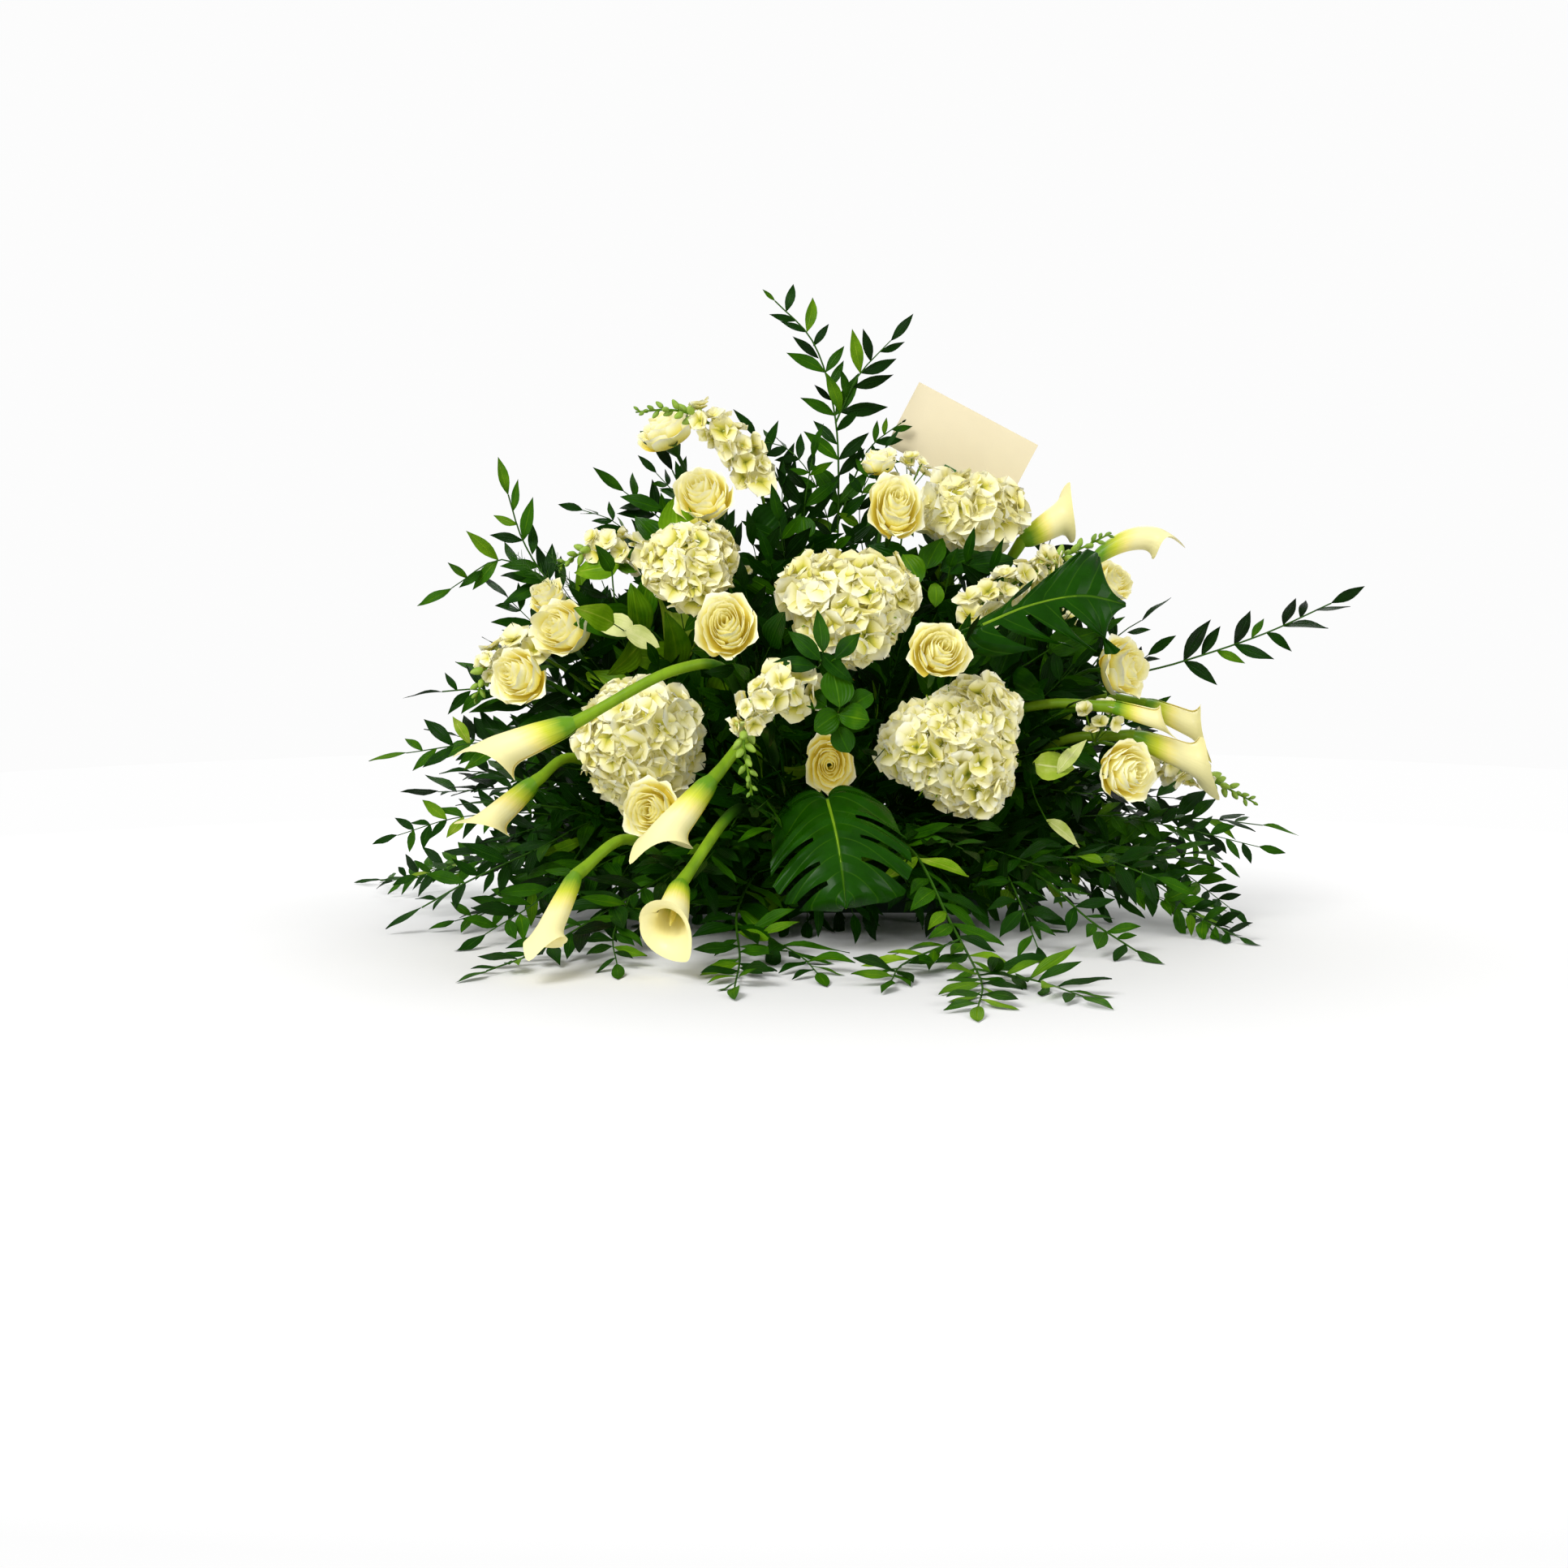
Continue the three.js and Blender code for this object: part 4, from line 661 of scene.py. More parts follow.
def floret_petals(spots, normals, length, seed, petals=4, cup=0.3, spread=0.86):
    """Petals of small open flowers at spots, each turned at random about its own normal"""
    draw = np.random.default_rng(seed)
    count = len(spots)
    normals = unit(normals + 0.3 * draw.standard_normal((count, 3)))
    first = unit(np.cross(normals, draw.standard_normal((count, 3))))
    second = np.cross(normals, first)
    size = length * (1 + 0.15 * draw.standard_normal((count, 1, 1)))
    turn = np.arange(petals)[None] * 2 * math.pi / petals + draw.uniform(-0.16, 0.16, (count, petals))
    out = np.cos(turn)[..., None] * first[:, None] + np.sin(turn)[..., None] * second[:, None]
    aside = np.cross(normals[:, None], out)
    t, s = FLORET.across, FLORET.along
    wide = np.interp(s, FLORET_STEPS, FLORET_WIDTHS) * t
    lift = cup + 0.22 * draw.standard_normal((count, petals, 1))
    fold = draw.uniform(-0.14, 0.46, (count, petals, 1))
    rise = size * (lift * s * (1 - 0.5 * s) + fold * np.abs(t) * s + 0.1 * np.sin(3 * t + 9 * lift) * s ** 2)
    points = (spots[:, None, None] + out[:, :, None] * (size * s)[..., None]
              + aside[:, :, None] * (size * spread * wide)[..., None]
              + normals[:, None, None] * rise[..., None])
    return points.reshape(-1, FLORET.size, 3), draw.uniform(0, 1, count).repeat(petals)


def dome_ways(count):
    """Evenly spread ways out of a dome whose pole is +Z"""
    order = np.arange(count) + 0.5
    height = 1 - 2 * order / count
    flat = np.sqrt(1 - height ** 2)
    ways = np.stack([flat * np.cos(order * GOLDEN_ANGLE), flat * np.sin(order * GOLDEN_ANGLE), height], -1)
    return ways[height > DOME_LOWEST]


for index, bloom in enumerate(HYDRANGEAS):
    name = f"hydrangea_{index + 1}"
    half = np.array(bloom["size"]) / 2
    turn = standing(bloom["face"])
    centre = np.array(bloom["at"])
    area = 4 * math.pi * (half[0] * half[1] * half[2]) ** (2 / 3)
    head = Cluster()
    # An outer layer of open florets, and one in the clefts below it that is painted darker and yellower as
    # shade. The shade value of a bloom scales the painted shade of all its florets, and is below 1 for the
    # blooms that are painted paler
    for reach, gap, cleft_shade, seed in ((0.9, 1.02, 0, index), (0.72, 1.25, 0.6, index + 12)):
        ways = dome_ways(int(area / (gap * bloom["petal"]) ** 2))
        draw = np.random.default_rng(index + 70)
        lobe = 0.5 - 0.5 * np.cos(3 * (np.arctan2(ways[:, 1], ways[:, 0]) - bloom["turn"]))
        room = reach * (1 - bloom["notch"] * lobe * (1 - 0.85 * ways[:, 2] ** 2))
        room += draw.uniform(-0.07, 0.05, len(ways))
        spots = centre + (ways * half * room[:, None]) @ turn.T
        petals, tones = floret_petals(spots, unit(ways / half) @ turn.T, bloom["petal"], seed)
        head.sheets(FLORET, petals, FLORET_THICK, (tones * 0.7 + cleft_shade) * bloom.get("shade", 1))
    axis = unit(bloom["face"])
    base = centre - axis * 0.3 * bloom["size"][2]
    centres, _ = stem_spots(name, [base - axis * 0.045, base], 0.015)
    head.tube(centres, HYDRANGEA_STEM, 8, 0.45, 1)
    core = centre - axis * 0.28 * half[2]
    for way in dome_ways(STALKS):
        tip = centre + turn @ (way * half * 0.8)
        bend = core + (tip - core) * 0.5 + axis * 0.1 * half[2]
        head.tube([core, bend, tip], [0.0016, 0.0012, 0.0009], 4, 0.85, 1)
    head.piece(f"{name}_bloom", [floret_look, stem_look], "petal", name)

# Snapdragons
# Six tall spikes: white florets in lime cups, each with an outer and an inner ring of petals, along a
# bending green stem, and lime buds that get smaller towards its tip.
SNAPDRAGONS = [
    dict(path=[(-0.06, -0.03, 0.44), (-0.082, -0.055, 0.533), (-0.138, -0.082, 0.588),
               (-0.175, -0.095, 0.599), (-0.218, -0.1, 0.596)], spike=0.19),
    dict(path=[(0.165, -0.15, 0.35), (0.2, -0.15, 0.382), (0.262, -0.132, 0.416), (0.34, -0.112, 0.455)],
         spike=0.205),
    dict(path=[(0, -0.225, 0.255), (-0.02, -0.275, 0.272), (-0.058, -0.325, 0.28),
               (-0.086, -0.362, 0.24), (-0.078, -0.378, 0.172)], spike=0.19),
    dict(path=[(0.33, -0.07, 0.205), (0.379, -0.07, 0.191), (0.457, -0.07, 0.166), (0.525, -0.07, 0.132)],
         spike=0.17),
    dict(path=[(-0.19, -0.04, 0.405), (-0.225, -0.042, 0.432), (-0.268, -0.045, 0.44),
               (-0.316, -0.048, 0.416)], spike=0.12),
    dict(path=[(-0.32, -0.06, 0.3), (-0.362, -0.084, 0.316), (-0.394, -0.092, 0.3), (-0.411, -0.098, 0.256)],
         spike=0.105),
]
SNAPDRAGON_STEM = 0.003
SPIKE_PITCH = 0.0056
OPEN_SHARE = 0.6
OPEN_FLORET = 0.0165

bud_look = Look("lime_bud", Specular_IOR_Level=0.35)
mottle = bud_look.noise(bud_look.place(), 130, 3)
ripe = (bud_look.tone() + mottle * 0.4 - 0.2).clamped()
bud_colour = ripe.ramp((0, 84, 128, 30), (0.5, 150, 182, 62), (1, 214, 224, 142))
bud_look.dress(bud_colour, mottle, 0.0003, 0.4 + mottle * 0.2)

# One bud, a pointed egg, is shaped from a small sphere and copied
bpy.ops.mesh.primitive_uv_sphere_add(segments=7, ring_count=6, radius=0.5, location=(0, 0, 0.5))
bpy.ops.object.transform_apply(location=True)
bpy.ops.object.mode_set(mode="EDIT")
bpy.ops.mesh.select_all(action="SELECT")
bpy.ops.transform.resize(value=(0.62, 0.62, 1), center_override=(0, 0, 0))
bpy.ops.object.mode_set(mode="OBJECT")
bud = bpy.context.object
bud_points = np.array([vertex.co for vertex in bud.data.vertices])
bud_points[:, :2] *= 1.15 - 0.5 * bud_points[:, 2:]
bud_faces = [np.array([face.vertices[:] for face in bud.data.polygons if len(face.vertices) == count])
             for count in (3, 4)]
bpy.data.objects.remove(bud)


def add_bud(cluster, root, way, length, tone, finish):
    points = root + (bud_points * length) @ standing(way).T
    cluster.gather(points, bud_faces, bud_points[:, 1:] + 0.5, tone, finish)


for index, plan in enumerate(SNAPDRAGONS):
    name = f"snapdragon_{index + 1}"
    centres, line = stem_spots(name, plan["path"], 0.014, 10)
    thinning = 1 - 0.65 * np.linspace(0, 1, len(centres) - 1) ** 2
    spray = Cluster()
    spray.tube(centres, SNAPDRAGON_STEM * np.concatenate([[1], thinning]), 6, 0.6, 1)
    count = int(plan["spike"] / SPIKE_PITCH)
    for k in range(count):
        share = k / count
        at = 1 - plan["spike"] * (1 - share) / line.length
        ahead = line.way(at)
        side = unit(np.cross(ahead, np.cross((0.1, -1, 0.25), ahead)))
        turn = k * GOLDEN_ANGLE
        aside = np.cross(ahead, side)
        out = side * (math.cos(turn) + 0.25) + aside * math.sin(turn)
        way = unit(0.8 * unit(out) + 0.6 * ahead * (0.5 + share))
        root = line.along(at)
        if share < OPEN_SHARE:
            size = OPEN_FLORET * (1.05 - 0.45 * share)
            mouth = root + way * size * 1.05
            seed = 1000 * index + k
            petals, tones = floret_petals(mouth[None], way[None], size, seed, 5, 0.42, 0.72)
            spray.sheets(FLORET, petals, FLORET_THICK, tones * 0.5)
            throat = mouth - way * 0.25 * size
            petals, tones = floret_petals(throat[None], way[None], size * 0.7, seed + 500, 4, 0.9, 0.8)
            spray.sheets(FLORET, petals, FLORET_THICK, tones * 0.5 + 0.2)
            spray.tube([root, root + way * size * 0.5, mouth], [0.0012, 0.0028, 0.0032], 5, 0.9, 2)
        else:
            size = 0.0065 + 0.028 * (1 - share)
            add_bud(spray, root + way * 0.003, way, size, 1.15 - share, 2)
            spray.tube([root, root + way * 0.005], [0.001, 0.0014], 4, 0.7, 1)
    spray.piece(f"{name}_spike", [floret_look, stem_look, bud_look], "spike", name)

# Callas
# Ten calla lilies: a smooth waxy spathe, rolled into a long funnel whose mouth slants back into a
# curled point, green at its neck, round a yellow spadix, on a thick bright green stem.
CALLAS = [
    dict(neck=(-0.269, -0.332, 0.247), tip=(-0.392, -0.352, 0.204), mouth=0.03, droop=0.02, bright=0.15,
         via=[(-0.11, -0.255, 0.3), (-0.16, -0.3, 0.303)], bend=-0.05),
    dict(neck=(-0.322, -0.258, 0.176), tip=(-0.394, -0.282, 0.112), mouth=0.022,
         via=[(-0.284, -0.185, 0.196)]),
    dict(neck=(-0.262, -0.42, 0.092), tip=(-0.29, -0.556, 0.024), mouth=0.019, roll=10, droop=0.016,
         via=[(-0.17, -0.3, 0.09), (-0.215, -0.352, 0.122)]),
    dict(neck=(-0.12, -0.352, 0.188), tip=(-0.19, -0.392, 0.106), mouth=0.028, droop=0.024,
         via=[(-0.07, -0.27, 0.235)]),
    dict(neck=(-0.152, -0.425, 0.084), tip=(-0.163, -0.545, 0.034), mouth=0.028, roll=-110,
         via=[(-0.095, -0.31, 0.15)]),
    dict(neck=(0.325, -0.062, 0.424), tip=(0.438, -0.066, 0.436), mouth=0.021, arch=0.18, droop=0.02,
         via=[(0.24, -0.05, 0.36)]),
    dict(neck=(0.242, -0.045, 0.446), tip=(0.316, -0.03, 0.49), mouth=0.029, via=[(0.205, -0.02, 0.38)]),
    dict(neck=(0.335, -0.165, 0.254), tip=(0.414, -0.182, 0.232), mouth=0.013, roll=180,
         via=[(0.19, -0.125, 0.235), (0.265, -0.145, 0.256)]),
    dict(neck=(0.388, -0.07, 0.252), tip=(0.476, -0.092, 0.214), mouth=0.022, roll=160, droop=0.01,
         via=[(0.32, -0.04, 0.256)]),
    dict(neck=(0.363, -0.14, 0.219), tip=(0.472, -0.15, 0.176), mouth=0.026, roll=150, droop=0.01,
         via=[(0.225, -0.06, 0.16), (0.29, -0.115, 0.212)]),
]
CALLA_STEM = 0.006
NECK = 0.0066
WRAP = 1.09
FRONT_RIM = 0.74
SPATHE_STEPS = (0, 0.1, 0.35, 0.65, 0.85, 1)
SPATHE_WIDTHS = (0, 0.2, 0.36, 0.5, 0.62, 0.72)
SPATHE_THICK = 0.0012
SPADIX_STEPS = np.linspace(0.1, 0.64, 7)
SPADIX_RADII = (0.0032, 0.0036, 0.0037, 0.0036, 0.0032, 0.0024, 0.0008)

spathe_look = Look("calla_spathe", Specular_IOR_Level=0.35, Coat_Weight=0.06)
ribs = spathe_look.noise(spathe_look.flat(), 6, 3, (9, 0.5, 1))
green = (1.15 - spathe_look.along() * 2.3 + ribs * 0.3).clamped()
spathe_colour = green.ramp((0, 248, 239, 174), (0.3, 246, 232, 132), (0.6, 204, 210, 52), (1, 98, 146, 6))
spathe_look.dress(spathe_colour, ribs, 0.0003, 0.38 + ribs * 0.12, 0.06)

spadix_look = Look("calla_spadix", Roughness=0.6)
grains = spadix_look.cells(700)
spadix_look.dress(grains.mix(rgb(226, 206, 84), rgb(246, 234, 140)), grains, 0.0006)

SPATHE = Blank(36, 18)


def spathe(length, mouth, roll, seed):
    """A sheet rolled round +Z: its back, where t is 0, runs out into the point of the flower"""
    t, s = SPATHE.across, SPATHE.along
    back = 0.5 + 0.5 * np.cos(t * math.pi)
    rim = FRONT_RIM + 0.14 * back + 0.07 * back ** 3 + 0.05 * back ** 24
    height = rim * s
    flare = np.clip((s - 0.7) / 0.3, 0, 1) ** 2
    away = NECK + (mouth - NECK) * np.interp(height, SPATHE_STEPS, SPATHE_WIDTHS)
    away += 0.0007 * t * (1 + s)
    away += mouth * flare * (0.46 - 0.2 * back + 0.1 * np.cos(5 * t) * math.sin(seed + 1))
    height -= 0.11 * flare * (1 - back ** 4)
    angle = math.pi / 2 + roll + t * math.pi * WRAP
    return np.stack([away * np.cos(angle), away * np.sin(angle), height * length], -1)


def bent(points, length, bend, arch):
    """Bends the tip of a straight flower to one side, and its middle into an arch"""
    share = points[:, 2] / length
    points[:, 1] += length * (bend * share ** 2 + arch * np.sin(math.pi * share))
    return points


for index, calla in enumerate(CALLAS):
    name = f"calla_{index + 1}"
    neck, tip = np.array(calla["neck"]), np.array(calla["tip"])
    length = np.linalg.norm(tip - neck)
    turn = standing(tip - neck)
    form = length, calla.get("bend", 0), calla.get("arch", 0)
    local = spathe(length, calla["mouth"], math.radians(calla.get("roll", 0)), index)
    points = neck + bent(local, *form) @ turn.T
    points[:, 2] -= calla.get("droop", 0) * np.clip((local[:, 2] / length - 0.65) / 0.35, 0, 1) ** 2
    flower = Cluster()
    flower.sheets(SPATHE, points[None], SPATHE_THICK, 0.5)
    core = np.outer(SPADIX_STEPS * length, (0, 0, 1))
    flower.tube(neck + bent(core, *form) @ turn.T, SPADIX_RADII, 8, 0.5, 2)
    centres, _ = stem_spots(name, [*calla["via"], neck], 0.01, 10)
    centres = np.concatenate([centres, [neck + turn[:, 2] * 0.006]])
    # The stem is painted bright under the flower and dark towards the foam, as painted light and shade, and
    # it swells a little into it
    left = np.linalg.norm(centres - neck, axis=1)
    tone = 0.08 + 0.66 * np.clip(1 - (left - calla.get("bright", 0.09)) / 0.05, 0, 1)
    flower.tube(centres, CALLA_STEM + 0.0014 * np.exp(-(left / 0.02) ** 2), 12, tone, 1)
    flower.piece(f"{name}_flower", [spathe_look, stem_look, spadix_look], "calla", name)

# Split leaves
# Two glossy monstera leaves with a pale midrib and slots that curve in from the edge between the
# side ribs. Each is one sheet that is cut, then arched along its rib and down to its sides.
MONSTERAS = [
    dict(via=[(0, -0.2, 0.14)], rib=[(0.004, -0.292, 0.158), (0.012, -0.336, 0.128), (0.018, -0.368, 0.092),
                                     (0.022, -0.388, 0.052)], face=(0, -0.85, 0.5), reach=0.08,
         slots=((0.3, 0.475, 0.65), (0.45, 0.65, 0.8)), tone=0.45, open=0.24, uncut=0.3,
         outlines=((0.46, 0.8, 0.95, 0.96, 0.8, 0.52, 0.04), (0.46, 0.8, 0.95, 0.96, 0.8, 0.52, 0.04))),
    dict(via=[(0.12, -0.15, 0.3)], rib=[(0.18, -0.222, 0.35), (0.235, -0.215, 0.372), (0.295, -0.205, 0.382),
                                        (0.346, -0.19, 0.372)], face=(0.1, -0.9, 0.42), reach=0.068,
         slots=((0.325,), (0.2, 0.375, 0.575)), tone=0.4, open=0.5, uncut=0.16,
         outlines=((0.1, 0.12, 0.4, 0.78, 0.98, 0.9, 0.26), (0.15, 0.5, 0.86, 1, 0.95, 0.84, 0.3))),
]
LEAF_STEM = 0.002
BLADE_THICK = 0.0007
OUTLINE_STEPS = (0, 0.1, 0.28, 0.5, 0.72, 0.88, 1)
BLADE_COLUMNS = 24
SLOT_ROWS = 40
HALF_SLOT = 0.5 / SLOT_ROWS
LOBE_SHARE = 0.24
SPINE_START = 0.14
FINGER_START = 0.16

monstera_look = Look("split_leaf", Specular_IOR_Level=0.09)
middle = abs(monstera_look.across() - 0.5)
cloud = monstera_look.noise(monstera_look.place(), 30, 3)
side_ribs = monstera_look.maths("PINGPONG", monstera_look.along() - middle * 0.3, 0.0625) * 16
rib_line = (1 - middle * 58).clamped()
vein = (1 - side_ribs * 9).clamped() * (middle * 12).clamped()
blade_colour = (cloud * 0.8 + monstera_look.tone() - 0.4).clamped().mix(rgb(6, 38, 0), rgb(34, 90, 0))
blade_colour = (rib_line * 0.5 + vein * 0.16).clamped().mix(blade_colour, rgb(96, 150, 24))
monstera_look.dress(blade_colour, rib_line * 0.8 + side_ribs * 0.8 - cloud * 0.3, 0.002, 0.2 + cloud * 0.12)

for index, plan in enumerate(MONSTERAS):
    name = f"monstera_{index + 1}"

    def is_slot(across, along):
        rows = [place + HALF_SLOT for place in plan["slots"][int(across > 0.5)]]
        return abs(across - 0.5) > plan["uncut"] / 2 and any(abs(along - row) < HALF_SLOT for row in rows)

    blade = Blank(BLADE_COLUMNS, SLOT_ROWS, is_slot)
    rib = Line(plan["rib"])
    reach = plan["reach"]
    t, s = blade.across, blade.along
    back = np.clip((LOBE_SHARE - s) / LOBE_SHARE, 0, 1)
    spine = np.clip((s - SPINE_START) / (1 - SPINE_START), 0, 1)
    centre = np.array([rib.along(share) for share in spine])
    ahead = np.array([rib.way(share) for share in spine])
    face = unit(plan["face"])
    top = unit(face - ahead * (ahead @ face)[:, None])
    side = np.cross(ahead, top)
    left, right = (np.interp(s, OUTLINE_STEPS, widths) for widths in plan["outlines"])
    outline = np.where(t < 0, left, right)
    out = np.abs(t)
    slide = rib.length * (0.3 * out ** 2 * (1 - back) * (1 - s ** 3) - 0.24 * back * out ** 0.5)
    # The fingers between the slots narrow towards the edge, which opens the slots
    opening = np.clip((out - plan["uncut"]) / (1 - plan["uncut"]), 0, 1) ** 0.7
    for hand, places in zip((-1, 1), plan["slots"]):
        edges = [FINGER_START, *places, 1]
        for low, high in zip(edges[:-1], edges[1:]):
            finger = (t * hand > 0) & (s > low + HALF_SLOT) & (s < high + HALF_SLOT)
            slide[finger] += (rib.length * plan["open"] * opening * ((low + high) / 2 - s))[finger]
    rise = -0.24 * out ** 2 + 0.12 * out * (1 - out) + 0.03 * np.sin(s * 50) * out ** 1.5
    points = (centre + side * (t * outline * reach)[:, None] + ahead * slide[:, None]
              + top * (reach * rise)[:, None])
    leaf = Cluster()
    leaf.sheets(blade, points[None], BLADE_THICK, plan["tone"])
    centres, _ = stem_spots(name, [*plan["via"], plan["rib"][0]], 0.014)
    leaf.tube(centres, LEAF_STEM * 1.3, 8, 0.5, 1)
    below = rib.spots(12) - face * 0.0008
    leaf.tube(below, np.linspace(0.0024, 0.0008, 12), 6, 0.7, 1)
    leaf.piece(f"{name}_leaf", [monstera_look, stem_look], "leaf", name)

# Foliage
# Seventeen branched sprays: ruscus that stands up, arches out and trails along the ground, and broad
# leaves between the blooms. Leaves are pressed from one blank, in pairs along wiry green stems.
LEAF_THICK = 0.0006
LEAF_DROP = 0.1
GROUND = 0.0012
BARE_PITCH = 0.11
# The bends that the leaves of the CAD branches may have, and how close a tip comes to its CAD tip
BENDS = (0.2, -0.15, 0.55, -0.5, 0.9, -0.85, 1.2)
TIP_REACH = 0.0008
# The size, spacing and angle are those of the CAD leaves. The form is the place of a leaf's widest part
# and how pointed it is, and the last pair is the share of the length and width that is drawn
NARROW = dict(length=0.073, width=0.027, spacing=0.056, angle=48, form=(0.46, 1.1), drawn=(0.86, 0.74))
BROAD = dict(length=0.088, width=0.054, spacing=0.08, angle=52, form=(0.36, 0.75), drawn=(0.95, 0.84))


def twig(*path, bare=0.12, slim=None, end=1):
    """A side branch: its path, the bare share of it, how slim its leaves are, and its end leaf's size"""
    return dict(path=path, bare=bare, slim=slim, end=end)


